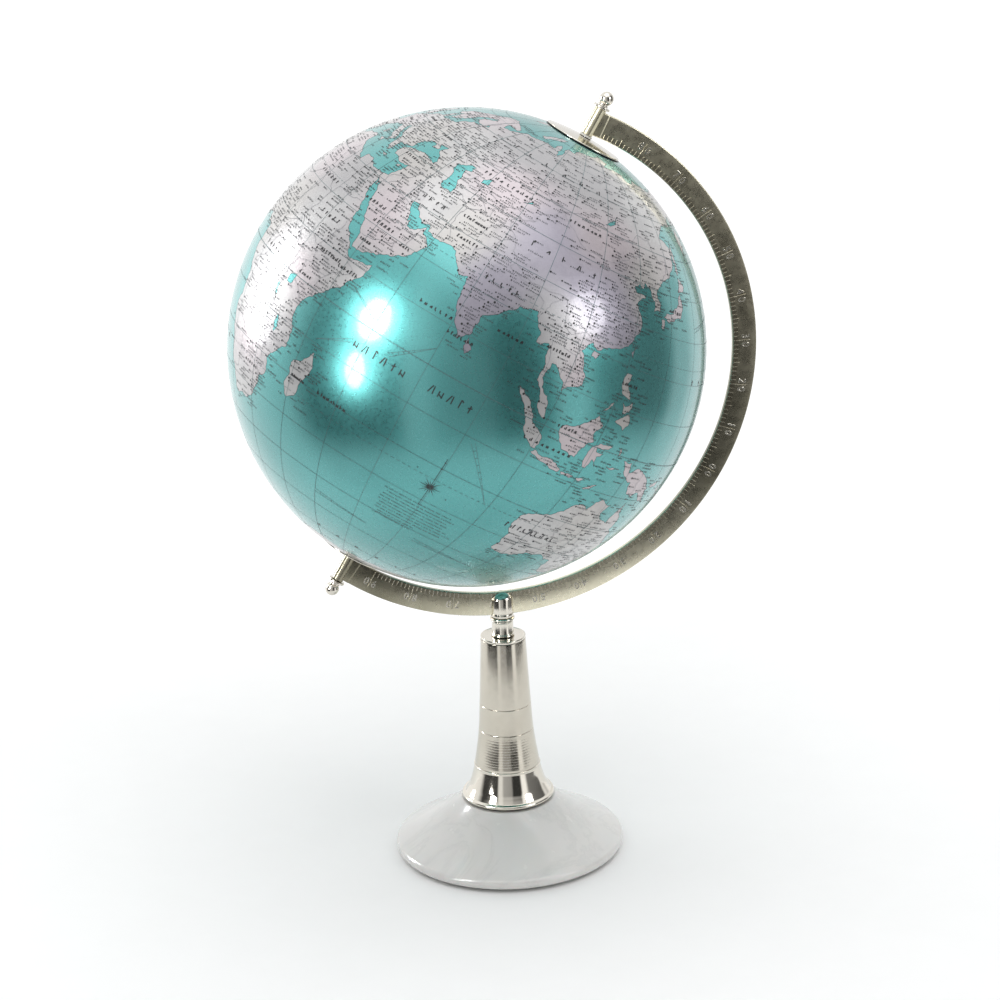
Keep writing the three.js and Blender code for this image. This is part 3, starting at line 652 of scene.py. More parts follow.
BORDERS = [
    [(61.6, 25.1), (63, 27.3), (60.9, 29.8), (61, 31.5), (60.6, 34), (61.2, 35.6), (57.3, 38.2),
     (53.9, 37)], [(61.2, 35.6), (64.8, 37.2), (68, 37), (71.4, 37.2), (74.9, 37.3), (71.5, 36.3),
     (69.3, 31.9), (66.4, 29.9), (60.9, 29.8)], [(68.8, 23.8), (70.8, 25.6), (70, 28), (73.5, 30),
     (74.6, 33), (77.8, 35.5), (74.9, 37.3)], [(77.8, 35.5), (78.8, 32.5), (81, 30.2), (85.8, 28.2),
     (88.1, 27.9), (92, 27.8), (97.3, 28.2), (98.6, 25.2)], [(81, 30.2), (80.1, 28.8), (84.2, 27.4),
     (88, 26.5), (88.1, 27.9)], [(89, 21.8), (88.2, 24.6), (89.6, 26), (92, 25), (92.4, 21)], [(92.4, 21),
     (93.3, 24), (95, 26.5), (97.3, 28.2)], [(98.6, 25.2), (99.3, 22.1), (101.8, 21.2), (105.3, 23.2),
     (108.1, 21.6)], [(101.1, 21.6), (97.5, 18.5), (98.6, 15.3), (99.2, 11.5)], [(101.1, 21.4),
     (101.2, 17.6), (104.7, 17.4), (105.6, 14.4), (102.9, 13.8), (102.9, 11.6)], [(102.2, 22.4),
     (104, 20.5), (105.2, 18.6), (107.3, 15.9), (107.5, 12.4), (104.5, 10.4)], [(74.9, 37.3), (73.7, 39.5),
     (80.2, 42.1), (80.4, 45), (87.4, 49.1)], [(87.4, 49.1), (91, 46), (96.3, 42.7), (105, 41.6),
     (111.8, 43.7), (116.7, 46.4), (119.9, 46.8), (116.7, 49.8)], [(87.4, 49.1), (92.3, 50.8), (98.3, 50.5),
     (102.3, 51.4), (108.5, 49.4), (116.7, 49.8), (119.9, 53), (126, 52.8), (130.9, 47.8), (135, 48.4),
     (131.2, 43.5), (130.6, 42.4)], [(124.3, 39.9), (128, 42), (130.6, 42.4)], [(87.4, 49.1), (80, 51),
     (76.8, 54.3), (70.8, 55.3), (61.4, 54), (59.5, 51), (55, 50.8), (48.6, 49.8), (47, 47.9),
     (49.2, 46.2)], [(53, 42), (56, 45), (58.6, 42.8), (62, 43.5), (66, 42), (69, 41.3), (73.5, 42.9),
     (80.2, 42.1)], [(56, 41.3), (60, 42.2), (62, 40), (66.5, 37.4)], [(69, 41.3), (70.7, 40), (67.5, 39.4),
     (68, 37)], [(48.9, 38.4), (44.8, 39.7), (44.6, 37), (46, 34), (48, 29.9)], [(44.8, 39.7), (43.5, 41.1),
     (41.5, 41.5)], [(44.6, 37), (42.3, 37.2), (36.7, 36.8), (35.9, 36.2)], [(42.3, 37.2), (41, 34.5),
     (38.8, 33.3), (39.2, 32), (44.7, 29.2), (46.5, 29.1), (48.4, 28.5)], [(38.8, 33.3), (35.7, 32.7),
     (35, 29.5), (37, 30), (39.2, 32)], [(43.2, 16.7), (47, 17), (52, 19), (53.1, 16.6)], [(52, 19),
     (55, 20), (55.2, 22.7), (52.6, 22.9), (51.2, 24.4)], [(55.2, 22.7), (56.2, 25.6)], [(25, 31.6),
     (25, 22), (31.5, 22), (36.9, 22)], [(25, 22), (24, 19.5), (24, 15.7), (22.5, 12), (25, 8.8), (31, 9.8),
     (34.2, 8.5), (36, 12.6), (36.9, 17)], [(36, 12.6), (42.3, 12.5)], [(34.2, 8.5), (35.9, 4.6),
     (41.9, 3.9), (48, 8), (42.9, 11)], [(41.9, 3.9), (41, -0.9), (41.6, -1.7)], [(33.9, 0.1), (34, 4.2),
     (35.9, 4.6)], [(34, -1), (37.6, -3), (39.2, -4.7)], [(29.6, -4.4), (30.8, -1), (29.6, 0.6),
     (31.3, 3.7), (34, 4.2)], [(25, 8.8), (27.5, 5), (18.5, 4.3), (18, -0.8), (16, -2.2), (12.8, -4.8)],
    [(9.8, 2.3), (13.3, 2.2), (16, 3), (15, 7.5), (22.9, 11)], [(12.2, -5.9), (17, -8), (22, -9.8),
     (24, -12), (29, -13.4), (30.8, -8.5), (29.5, -6)], [(24, -12), (22, -16), (25.3, -17.8), (30.4, -15.6),
     (33.2, -14)], [(11.8, -17.2), (21, -18), (21, -22), (20, -28.4), (16.5, -28.6)], [(25.3, -17.8),
     (29.4, -22.2), (31.3, -22.4), (32.8, -25.9)], [(30.4, -15.6), (33, -17.5), (32.6, -21), (31.3, -22.4)],
    [(40.4, -10.4), (34.7, -11.6), (33, -9.5), (30.8, -8.5)], [(11.5, 33), (9.5, 30.2), (12, 23.5),
     (15, 23), (24, 19.5)], [(12, 23.5), (5.7, 19.5), (3.2, 19), (-4.8, 25), (-8.7, 27.4)], [(14, 13.2),
     (15.9, 20.4), (15, 23)], [(3.6, 11.7), (8, 13.2), (13.6, 13.7), (14, 9), (9, 5)], [(2.7, 6.4),
     (3.6, 11.7), (0, 15), (-4.8, 25)], [(-2, 35.1), (-1.2, 32.3), (-8.7, 28.7)], [(28, 59.5), (28, 56),
     (31, 52.5), (35, 50.5), (40, 49.5), (38.3, 47.2)], [(23.5, 53.9), (24, 51), (22.5, 49), (26.6, 48),
     (29.6, 45.4)], [(14.3, 53.9), (15, 51), (12.3, 50.3), (13.8, 48.7), (17, 48), (22.5, 48.4)],
    [(6.8, 53.3), (6, 50), (8, 48.5), (7, 46), (7.5, 43.8)], [(7.5, 47.6), (13, 47.5), (13.6, 46),
     (16.5, 46.5), (19, 46), (22.6, 44.5), (28.5, 43.8)], [(-1.7, 43.3), (3.1, 42.4)], [(-6.8, 41.9),
     (-7, 38.2), (-7.4, 37.2)], [(29.8, 60.7), (31.4, 63), (29, 69), (20.6, 69), (12.2, 64), (11.5, 59)],
    [(-141, 69.6), (-141, 60.3), (-130.2, 55.6)], [(-122.8, 49), (-95.2, 49), (-88.5, 48.2), (-82.5, 45.3),
     (-79, 43.3), (-75, 45), (-71, 45.3), (-69, 47.4), (-67.2, 45)], [(-117.1, 32.5), (-111, 31.3),
     (-106.5, 31.8), (-101.4, 29.8), (-97.2, 25.9)], [(-92.2, 14.6), (-91, 17.8), (-88.4, 18.4)],
    [(-77.4, 8.6), (-77.9, 7.3)], [(-72, 11.6), (-72.4, 7.4), (-67.4, 6), (-67, 1.2), (-70, -4.2),
     (-75.3, 0), (-79, 1.4)], [(-60, 8.4), (-60.7, 5), (-64, 1.5), (-67, 1.2)], [(-60.7, 5), (-52, 2.4),
     (-51.7, 4.2)], [(-70, -4.2), (-73.8, -7.3), (-69.5, -11), (-65.3, -10), (-60, -16.3), (-58, -20),
     (-55.8, -22.4), (-54.5, -25.6), (-57.6, -30.2), (-53.4, -33.7)], [(-69.5, -11), (-69.4, -17.5),
     (-67.5, -23), (-70, -29), (-70, -36), (-72, -42), (-72, -50), (-68.5, -52.3)], [(-67.5, -22.8),
     (-62.5, -22.2), (-58, -20)], [(141, -2.6), (141, -9)], [(129, -15), (129, -31.6)], [(138, -16.6),
     (138, -26), (129, -26)], [(141, -26), (141, -38)], [(138, -26), (141, -26), (141, -29), (153, -28.6)],
    [(109.6, 2), (112, 1.4), (115, 1.2), (115.8, 4.3), (117.6, 4.2)],
]

# Land tints: longitude, latitude and which tint is strongest there
SILVER, GREY, ROSE = (0.56, 0.56, 0.56), (0.42, 0.415, 0.425), (0.57, 0.505, 0.53)
LILAC, SAND = (0.36, 0.34, 0.405), (0.53, 0.515, 0.495)
TINTS = [
    (45, 24, ROSE), (53, 31, SILVER), (66, 47, ROSE), (64, 29, SAND), (78, 22, LILAC), (80, 12, LILAC),
    (104, 34, LILAC), (112, 27, LILAC), (88, 40, LILAC), (103, 46, ROSE), (96, 62, GREY), (60, 60, GREY),
    (130, 62, SILVER), (40, 52, SILVER), (96, 20, GREY), (101, 15, SILVER), (107, 14, ROSE),
    (102, -1, SILVER), (113, 0, ROSE), (122, 12, SAND), (138, 37, ROSE), (126, 38, SAND), (25, 27, GREY),
    (30, 15, SILVER), (40, 8, GREY), (46, 5, SILVER), (36, 0, ROSE), (34, -6, SILVER), (24, -3, GREY),
    (18, -12, SILVER), (25, -20, ROSE), (24, -30, SILVER), (34, -17, GREY), (47, -19, SILVER),
    (5, 28, ROSE), (8, 10, SAND), (-5, 18, SILVER), (-8, 30, SAND), (2, 47, ROSE), (10, 51, SILVER),
    (20, 50, SAND), (-4, 40, SAND), (16, 63, ROSE), (34, 39, SAND), (122, -24, SILVER), (133, -20, SAND),
    (145, -27, SILVER), (142, -5, ROSE), (172, -42, ROSE), (-100, 60, SILVER), (-150, 64, ROSE),
    (-105, 45, ROSE), (-85, 36, SAND), (-102, 24, LILAC), (-87, 14, SAND), (-40, 74, SILVER),
    (-72, 4, ROSE), (-65, 7, LILAC), (-52, -10, SILVER), (-75, -10, SAND), (-64, -17, LILAC),
    (-66, -34, ROSE), (-57, -23, SAND), (-71, -30, SILVER), (0, -78, SILVER), (120, -78, SILVER),
    (-100, -78, SILVER),
]

# Where places are marked: longitude, latitude, spread in degrees and how many
PLACES = [
    (78, 24, 8, 90), (77, 13, 5, 26), (112, 32, 9, 110), (104, 30, 6, 40), (121, 44, 5, 20),
    (138, 36, 4, 24), (127, 37, 2, 10), (106, 16, 6, 34), (97, 19, 4, 18), (111, -7, 6, 20),
    (102, 0, 5, 18), (113, 1, 5, 12), (122, 13, 5, 18), (45, 33, 6, 34), (53, 33, 6, 34), (46, 22, 8, 30),
    (46, 15, 4, 12), (57, 22, 4, 12), (66, 30, 6, 30), (66, 42, 9, 50), (75, 52, 14, 50), (100, 54, 16, 40),
    (48, 54, 10, 50), (35, 50, 8, 50), (15, 49, 10, 110), (22, 44, 6, 34), (-4, 40, 4, 22), (-1, 52, 3, 14),
    (14, 62, 7, 24), (33, 39, 5, 24), (30, 27, 4, 16), (32, 14, 7, 22), (39, 9, 5, 18), (44, 5, 6, 14),
    (37, -2, 5, 22), (35, -13, 7, 26), (28, -12, 7, 20), (28, -27, 6, 32), (15, -12, 7, 16), (20, 3, 9, 20),
    (5, 9, 7, 44), (0, 32, 9, 26), (12, 28, 12, 16), (47, -19, 4, 12), (-12, 13, 6, 14), (120, -26, 10, 22),
    (134, -22, 10, 20), (146, -32, 7, 34), (144, -7, 6, 12), (173, -41, 5, 12), (135, 62, 18, 24),
    (-80, 39, 9, 80), (-98, 38, 10, 50), (-118, 42, 8, 30), (-102, 22, 7, 34), (-88, 14, 5, 16),
    (-100, 54, 18, 30), (-72, 5, 6, 26), (-46, -20, 9, 46), (-42, -8, 7, 22), (-60, -10, 9, 16),
    (-62, -33, 7, 34), (-72, -20, 8, 26), (-78, 21, 5, 10), (-152, 64, 8, 8),
]

# ---------------------------------------------------------------- map sizes
MAP_SPIN = 172.1  # how far the map is turned about the axle, in degrees
WEST, EAST = -169.0, 191.0  # the seam of the print runs through the Bering Strait
POLAR_EDGE = 81.0  # beyond this latitude the shells are plain rings
GRID = 3.0  # spacing of the mesh under the coasts, in degrees
PRINT_SHIFT = 1.7  # the print sits this far north of true at the equator, in degrees
SEAM = -PRINT_SHIFT  # where the shells' joint falls on the print
COAST_DETAIL = 0.75
BORDER_DETAIL = 1.2
COAST_WANDER = 0.15
TINT_REACH = 2.6  # how softly the tints run into each other, in degrees
DEGREE = math.radians(1) * GLOBE_RADIUS  # one degree of latitude on the print
PRINT_LIFT = 0.05 * MM
COAST_LIFT, BORDER_LIFT, NAME_LIFT = 0.9 * PRINT_LIFT, 1.1 * PRINT_LIFT, 1.2 * PRINT_LIFT
TITLE_LIFT, TOWN_LIFT, CAP_RING_LIFT = 1.3 * PRINT_LIFT, 1.4 * PRINT_LIFT, 1.6 * PRINT_LIFT

LINE_WIDTH = 0.2 * MM
EQUATOR_WIDTH = 0.34 * MM
BORDER_WIDTH = 0.22 * MM
COAST_WIDTH = 0.2 * MM
CAP_RING_WIDTH = 0.9 * MM
TROPIC, POLAR_CIRCLE = 23.44, 66.56
STROKE = 0.21 * MM
TITLE_STROKE = 0.62 * MM
LETTER_PITCH = 0.95  # as a share of a letter's height
ROW_PITCH = 0.72  # small names stand on rows this many degrees apart
CELL = 0.5  # width of the cells in which room for names is counted, in degrees
TOWN_SHARE = 4.3
TOWN_RADII = (0.36 * MM, 0.42 * MM, 0.52 * MM, 0.62 * MM)
NAME_HEIGHTS = (0.85 * MM, 0.95 * MM, 1.1 * MM)
SEA_NAMES = 3  # tries beside each corner of a coast
NOTE_PLACE = (80.2, -31.6)  # the note printed in the southern ocean
NOTE_HEIGHT = 0.72 * MM
NOTE_ROWS = 10
NOTE_PITCH = 0.98
COMPASS = (89.6, -25.7)
COMPASS_LONG = 6.4 * MM
COMPASS_SHORT = 4.4 * MM
COMPASS_SPOKE = 0.22 * MM
ARROW_WIDTH, TAIL_WIDTH = 0.34 * MM, 0.26 * MM
CURRENT_TAIL = 0.45  # half the width of a current's tail, in degrees


def narrowing(lat, least=0.05):
    """How much shorter a degree of longitude is at a latitude."""
    return max(least, math.cos(math.radians(lat)))


def on_sphere(lon, lat, radius=GLOBE_RADIUS):
    """Points of the print, from longitude and latitude arrays in degrees."""
    lon, lat = np.asarray(lon, float), np.asarray(lat, float)
    north = np.radians(lat + PRINT_SHIFT * np.clip(np.cos(np.radians(lat)), 0, 1) ** 1.5)
    turn_angle = np.radians(lon + MAP_SPIN)
    level = np.cos(turn_angle)[..., None] * BOW + np.sin(turn_angle)[..., None] * BACK
    across = np.cos(north)[..., None] * level
    return CENTRE + radius * (across + np.sin(north)[..., None] * AXIS)


def wander(outline, rng, detail, closed=True):
    """Breaks the straight edges of an outline into an irregular coast."""
    out = []
    for (x0, y0), (x1, y1) in zip(outline, outline[1:] + (outline[:1] if closed else [])):
        out.append((x0, y0))
        squeeze = narrowing((y0 + y1) / 2, 0.2)
        length = math.hypot((x1 - x0) * squeeze, y1 - y0)
        if abs(y0) >= POLAR_EDGE or abs(y1) >= POLAR_EDGE:
            continue
        levels = max(0, math.ceil(math.log2(max(length / detail, 1))))
        line = [(x0, y0), (x1, y1)]
        for _ in range(levels):
            finer = [line[0]]
            for (ax, ay), (bx, by) in zip(line, line[1:]):
                dx, dy = (bx - ax) * squeeze, by - ay
                push = rng.uniform(-COAST_WANDER, COAST_WANDER)
                finer.append(((ax + bx) / 2 - dy * push / squeeze, (ay + by) / 2 + dx * push))
                finer.append((bx, by))
            line = finer
        out += line[1:-1]
    if not closed:
        out.append(outline[-1])
    return out


def inside(outline, lon, lat):
    """Whether a point lies in an outline."""
    hit = False
    for (x0, y0), (x1, y1) in zip(outline, outline[1:] + outline[:1]):
        if (y0 > lat) != (y1 > lat) and lon < (x1 - x0) * (lat - y0) / (y1 - y0) + x0:
            hit = not hit
    return hit


def partition(coasts, lakes):
    """Triangles of the whole print, each marked land or sea, in longitude and latitude."""
    points, edges = [], []
    columns = int((EAST - WEST) / GRID)
    rows = int(2 * POLAR_EDGE / GRID)
    for i in range(columns + 1):
        for j in range(rows + 1):
            points.append((WEST + i * GRID, -POLAR_EDGE + j * GRID))
    for i in range(columns + 1):
        points.append((WEST + i * GRID, SEAM))
    seam_start = len(points) - columns - 1
    edges += [(seam_start + i, seam_start + i + 1) for i in range(columns)]
    for j in range(rows):
        edges += [(j, j + 1), (columns * (rows + 1) + j, columns * (rows + 1) + j + 1)]
    for outline in coasts + lakes:
        start, count = len(points), len(outline)
        edges += [(start + k, start + (k + 1) % count) for k in range(count)]
        points += outline
    result = delaunay_2d_cdt([Vector(p) for p in points], edges, [], 0, 1e-5)
    flat = np.array([tuple(v) for v in result[0]])
    triangles = [list(face) for face in result[2]]
    middles = flat[np.array(triangles)].mean(axis=1)
    land = covered(middles, coasts) & ~covered(middles, lakes)
    return flat, triangles, land.tolist()


def covered(places, outlines):
    """Which of many places lie in any of the outlines."""
    found = np.zeros(len(places), bool)
    for outline in outlines:
        ring = np.array(outline)
        low, high = ring.min(0), ring.max(0)
        near = np.flatnonzero(((places >= low) & (places <= high)).all(axis=1))
        x, y = places[near, 0][:, None], places[near, 1][:, None]
        x0, y0 = ring[:, 0], ring[:, 1]
        x1, y1 = np.roll(x0, -1), np.roll(y0, -1)
        rise = np.where(y1 == y0, 1.0, y1 - y0)
        crosses = ((y0 > y) != (y1 > y)) & (x < (x1 - x0) * (y - y0) / rise + x0)
        found[near] |= crosses.sum(axis=1) % 2 == 1
    return found


def tint_at(lon, lat):
    """Soft blend of the nearest land tints."""
    weight = 0.0
    colour = np.zeros(3)
    for x, y, tint in TINTS:
        dx = ((lon - x + 180) % 360 - 180) * math.cos(math.radians(lat))
        w = math.exp(-((dx**2 + (lat - y) ** 2) ** 0.5) / TINT_REACH)
        weight += w
        colour += w * np.array(tint)
    return colour / weight if weight > 1e-12 else np.array(SILVER)


def build_shells(coasts, lakes):
    """The two half balls, each with its printed outside, board inside and rims."""
    flat, triangles, land = partition(coasts, lakes)
    columns = int((EAST - WEST) / GRID)
    hole = math.degrees(math.asin(POLE_HOLE / GLOBE_RADIUS))
    lonlat = [tuple(p) for p in flat]
    for sign in (1, -1):
        edge = {}
        for i, (x, y) in enumerate(lonlat):
            if abs(y - sign * POLAR_EDGE) < 1e-4:
                edge[round(x, 3)] = i
        around = [edge[x] for x in sorted(edge)]
        start = len(lonlat)
        lonlat += [(lonlat[i][0], sign * (90 - hole)) for i in around]
        for k in range(len(around) - 1):
            quad = [around[k], around[k + 1], start + k + 1, start + k]
            triangles.append(quad if sign > 0 else quad[::-1])
            land.append(sign < 0)
    lonlat = np.array(lonlat)
    outer = on_sphere(lonlat[:, 0], lonlat[:, 1])
    _, first, same = np.unique(np.round(outer, 7), axis=0, return_index=True, return_inverse=True)
    same = np.asarray(same).reshape(-1)
    outer, lonlat = outer[first], lonlat[first]
    inner = CENTRE + (outer - CENTRE) * (GLOBE_RADIUS - SHELL_WALL) / GLOBE_RADIUS
    tints = np.array([tint_at(x, y) for x, y in lonlat])
    height = (outer - CENTRE) @ AXIS
    for side, sign in (("north", 1), ("south", -1)):
        faces, kinds = [], []
        for face, is_land in zip(triangles, land):
            welded = [int(same[v]) for v in face]
            welded = [v for n, v in enumerate(welded) if v != welded[n - 1]]
            if len(set(welded)) > 2 and sign * sum(height[v] for v in welded) > 0:
                faces.append(welded)
                kinds.append(1 if is_land else 0)
        shell_mesh(side, faces, kinds, outer, inner, tints)


def shell_mesh(side, faces, kinds, outer, inner, tints):
    """One half ball: the printed outside, the board inside and the rims between them."""
    used = sorted({v for face in faces for v in face})
    place = {v: i for i, v in enumerate(used)}
    count = len(used)
    outside = [[place[v] for v in face] for face in faces]
    a, b, c = (outer[faces[0][k]] for k in range(3))
    if np.dot(np.cross(b - a, c - a), a - CENTRE) < 0:
        outside = [face[::-1] for face in outside]
    directed = {(f[k], f[(k + 1) % len(f)]) for f in outside for k in range(len(f))}
    rims = [(q, p, p + count, q + count) for p, q in directed if (q, p) not in directed]
    lining = [[v + count for v in face[::-1]] for face in outside]
    points = np.vstack([outer[used], inner[used]])
    name = f"{side}_map_shell"
    mesh = new_mesh(name, points, outside + lining + rims, (SEA, LAND, BOARD))
    mesh.polygons.foreach_set("material_index", kinds + [2] * (len(lining) + len(rims)))
    layer = mesh.color_attributes.new("tint", "FLOAT_COLOR", "POINT")
    colours = np.ones((2 * count, 4))
    colours[:count, :3] = colours[count:, :3] = tints[used]
    layer.data.foreach_set("color", colours.reshape(-1).astype(np.float32))
    round_normals(mesh, points, count, len(outside) + len(lining))
    mesh.update()
    settle(placed(name, mesh), "globe", [f"{side}_shell"])


def round_normals(mesh, points, count, first_rim):
    """Normals of a true ball for a half shell, but flat ones on its rims."""
    mesh.shade_smooth()
    loop_vertex = np.zeros(len(mesh.loops), int)
    mesh.loops.foreach_get("vertex_index", loop_vertex)
    radial = radially(points)
    radial[count:] *= -1
    normals = radial[loop_vertex].astype(np.float32)
    for polygon in mesh.polygons:
        if polygon.index >= first_rim:
            for loop in polygon.loop_indices:
                normals[loop] = polygon.normal
    mesh.normals_split_custom_set(normals.tolist())


def radially(points):
    """Unit vectors away from the globe's centre."""
    return (points - CENTRE) / np.linalg.norm(points - CENTRE, axis=1)[:, None]


# ---------------------------------------------------------------- printed lines and marks


class Print:
    """Gathers flat ink marks in longitude and latitude, then lays them on the ball."""

    def __init__(self):
        self.corners = []

    def quad(self, *corners):
        self.corners.append(corners)

    def line(self, points, width, step=1.5):
        """A printed line of a given width through points."""
        for (x0, y0), (x1, y1) in zip(points, points[1:]):
            squeeze = narrowing((y0 + y1) / 2)
            dx, dy = (x1 - x0) * squeeze, y1 - y0
            length = math.hypot(dx, dy)
            if length < 1e-6:
                continue
            pieces = max(1, math.ceil(length / step))
            half = width / DEGREE / 2
            ox, oy = -dy / length * half / squeeze, dx / length * half
            for k in range(pieces):
                s, t = k / pieces, (k + 1) / pieces
                ax, ay, bx, by = x0 + (x1 - x0) * s, y0 + dy * s, x0 + (x1 - x0) * t, y0 + dy * t
                self.quad((ax - ox, ay - oy), (bx - ox, by - oy),
                          (bx + ox, by + oy), (ax + ox, ay + oy))

    def fan(self, lon, lat, radius, sides=8):
        """A small filled polygon."""
        squeeze = narrowing(lat)
        reach = radius / DEGREE
        ring = []
        for k in range(sides):
            angle = 2 * math.pi * k / sides
            ring.append((lon + reach * math.sin(angle) / squeeze, lat + reach * math.cos(angle)))
        for k in range(sides):
            self.quad((lon, lat), ring[(k + 1) % sides], ring[k])

    def build(self, name, material, lift=PRINT_LIFT):
        """Lays the marks on the ball as one thin sheet of ink."""
        flat = np.array([p for c in self.corners for p in c], float)
        points = on_sphere(flat[:, 0], flat[:, 1], GLOBE_RADIUS + lift)
        faces, start = [], 0
        for mark in self.corners:
            faces.append(range(start, start + len(mark)))
            start += len(mark)
        mesh = new_mesh(name, points, faces, [material])
        mesh.shade_smooth()
        mesh.normals_split_custom_set_from_vertices(radially(points).tolist())
        settle(placed(name, mesh), "globe", [])


def graticule(sheet):
    """Meridians, parallels, the graduated equator, tropics and polar circles."""
    for lon in range(-165, 195, 15):
        sheet.line([(lon, lat) for lat in np.arange(-80, 80.1, 2)], LINE_WIDTH)
    for lat in range(-70, 80, 10):
        width = EQUATOR_WIDTH if lat == 0 else LINE_WIDTH
        sheet.line([(lon, lat) for lon in np.arange(WEST, EAST + 0.1, 2)], width)
    for lat in (TROPIC, -TROPIC, POLAR_CIRCLE, -POLAR_CIRCLE):
        for lon in np.arange(WEST, EAST, 1.6):
            sheet.line([(lon, lat), (lon + 0.9, lat)], LINE_WIDTH)
    for lon in np.arange(WEST, EAST, 1.0):
        sheet.line([(lon, -0.35), (lon, 0.0)], LINE_WIDTH * 0.7)


# Strokes of the mock letters, in a cell one unit tall
LETTER_SHAPES = [
    [((0.1, 0), (0.1, 1)), ((0.1, 0.5), (0.6, 0.35))], [((0.5, 0), (0.1, 0.25)), ((0.1, 0.25), (0.1, 0.9))],
    [((0.3, 0), (0.3, 1)), ((0.3, 1), (0.6, 0.8))], [((0, 0), (0.3, 0.9)), ((0.5, 0.9), (0.55, 0))],
    [((0.05, 0), (0.05, 0.7)), ((0.5, 0.7), (0.5, 0)), ((0.05, 0.35), (0.5, 0.1))], [((0.1, 0.5),
      (0.6, 0.65)), ((0.35, 0), (0.35, 0.9))], [((0.1, 0), (0.1, 0.6)), ((0.55, 0), (0.55, 1))],
    [((0.1, 0.1), (0.6, 0.7)), ((0.6, 0.7), (0.6, 0))],
]


def mock_words(sheet, lon, lat, height, letters, rng, spacing=1.0, stroke=STROKE):
    """Unreadable mock lettering along a parallel: random strokes in letter-sized cells."""
    squeeze = narrowing(lat, 0.1)
    tall = height / DEGREE
    for _ in range(letters):
        for ends in rng.choice(LETTER_SHAPES):
            sheet.line([(lon + x * tall / squeeze, lat + y * tall) for x, y in ends], stroke, step=9)
        lon += tall * (LETTER_PITCH * spacing) / squeeze
        if letters > 9 and rng.random() < 0.16:
            lon += tall * 0.8 / squeeze


class Room:
    """Keeps printed names from running over each other."""

    def __init__(self):
        self.taken = set()

    def claim(self, lon, lat, width):
        """Takes the cells that a name needs, or says that they are gone."""
        squeeze = narrowing(lat, 0.1)
        row = round(lat / ROW_PITCH)
        first, last = (math.floor(x * squeeze / CELL) for x in (lon - 0.4, lon + width / squeeze))
        cells = {(row, k) for k in range(first, last + 1)}
        if cells & self.taken:
            return False
        self.taken |= cells
        return True


def towns(dots, names, coasts, room, rng):
    """Town marks with small mock names, where there is land and room."""
    for lon, lat, spread, count in PLACES:
        for _ in range(round(count * TOWN_SHARE)):
            x, y = lon + rng.gauss(0, spread * 0.66), lat + rng.gauss(0, spread * 0.55)
            y = round(y / ROW_PITCH) * ROW_PITCH
            height, letters = rng.choice(NAME_HEIGHTS), rng.randint(3, 8)
            width = 0.5 + height / DEGREE * LETTER_PITCH * letters
            dry = abs(y) <= 76 and any(inside(c, x, y) for c in coasts)
            if not dry or not room.claim(x, y, width):
                continue
            dots.fan(x, y, rng.choice(TOWN_RADII), 8)
            mock_words(names, x + 0.5, y - 0.15, height, letters, rng)


# Large spaced names: longitude, latitude, letter height in mm, letters, spacing
LARGE_NAMES = [
    (57.6, -5.6, 4.6, 6, 1.28), (77.8, -5.4, 4.6, 5, 1.2), (75, 8.2, 1.8, 8, 1.1), (54, -20, 2.0, 9, 1.1),
    (66, 11, 1.9, 7, 1.6), (85, 14, 1.7, 6, 1.6), (82, 36, 3.0, 5, 3.2), (76, 23.2, 2.6, 5, 1.8),
    (35.6, 24, 2.0, 6, 1.5), (43, 20.6, 2.0, 6, 1.4), (48.6, 32.2, 2.4, 4, 1.9), (56, 47, 2.2, 10, 1.3),
    (52.3, 60, 3.0, 6, 3.6), (90, 47.2, 1.9, 8, 1.4), (62, 33.6, 1.7, 9, 1.05), (64, 28.4, 1.8, 7, 1.1),
    (43.4, 7.4, 2.0, 7, 1.1), (36, 8, 2.0, 8, 1.1), (27, 15, 2.2, 5, 1.9), (34, 1, 1.8, 5, 1.3),
    (43.5, 15.4, 1.6, 5, 1.1), (53.6, 19.2, 1.6, 4, 1.2), (112, -26.6, 2.9, 9, 1.45), (10, 22, 2.2, 7, 2.0),
    (15, 1, 2.0, 5, 2.2), (25, -25, 1.8, 6, 1.4), (-36, 30, 3.3, 8, 3.4), (-30, -25, 3.3, 8, 3.4),
    (-155, 20, 3.5, 7, 5.0), (-145, -25, 3.5, 7, 5.0), (150, 20, 3.3, 6, 4.0), (-112, 40, 2.8, 6, 2.8),
    (-115, 58, 2.8, 6, 4.0), (-64, -9, 2.8, 6, 2.6), (-70, -36, 1.9, 6, 1.4), (60, -60, 2.4, 8, 5.0),
    (-120, -60, 2.4, 8, 5.0), (-20, -76, 2.6, 10, 5.0), (97, 16, 1.7, 8, 1.1), (108, 1, 1.7, 6, 1.3),
    (102, -4.6, 1.9, 9, 1.9), (120, 15.6, 1.6, 7, 1.05), (134, 36, 1.8, 5, 1.5), (-84, 24.6, 1.6, 8, 1.3),
    (-4, 40.4, 1.6, 5, 1.0), (1, 46.4, 1.7, 5, 1.1), (8.6, 51, 1.7, 6, 1.0), (28, 49.4, 1.7, 6, 1.1),
    (30, 38.8, 1.7, 6, 1.2), (45, -20, 1.6, 7, 0.9),
]


def ocean_names(names, big, rng):
    """The large mock titles and the note printed in the southern ocean."""
    west, top = NOTE_PLACE
    for lon, lat, tall, letters, spacing in LARGE_NAMES:
        mock_words(big, lon, lat, tall * MM, letters, rng, spacing, TITLE_STROKE)
    for row in range(NOTE_ROWS):
        ragged = rng.uniform(-0.8, 0.8)
        letters = rng.randint(46, 50) if row < NOTE_ROWS - 2 else rng.randint(24, 36)
        mock_words(names, west + ragged, top - row * NOTE_PITCH, NOTE_HEIGHT, letters, rng)


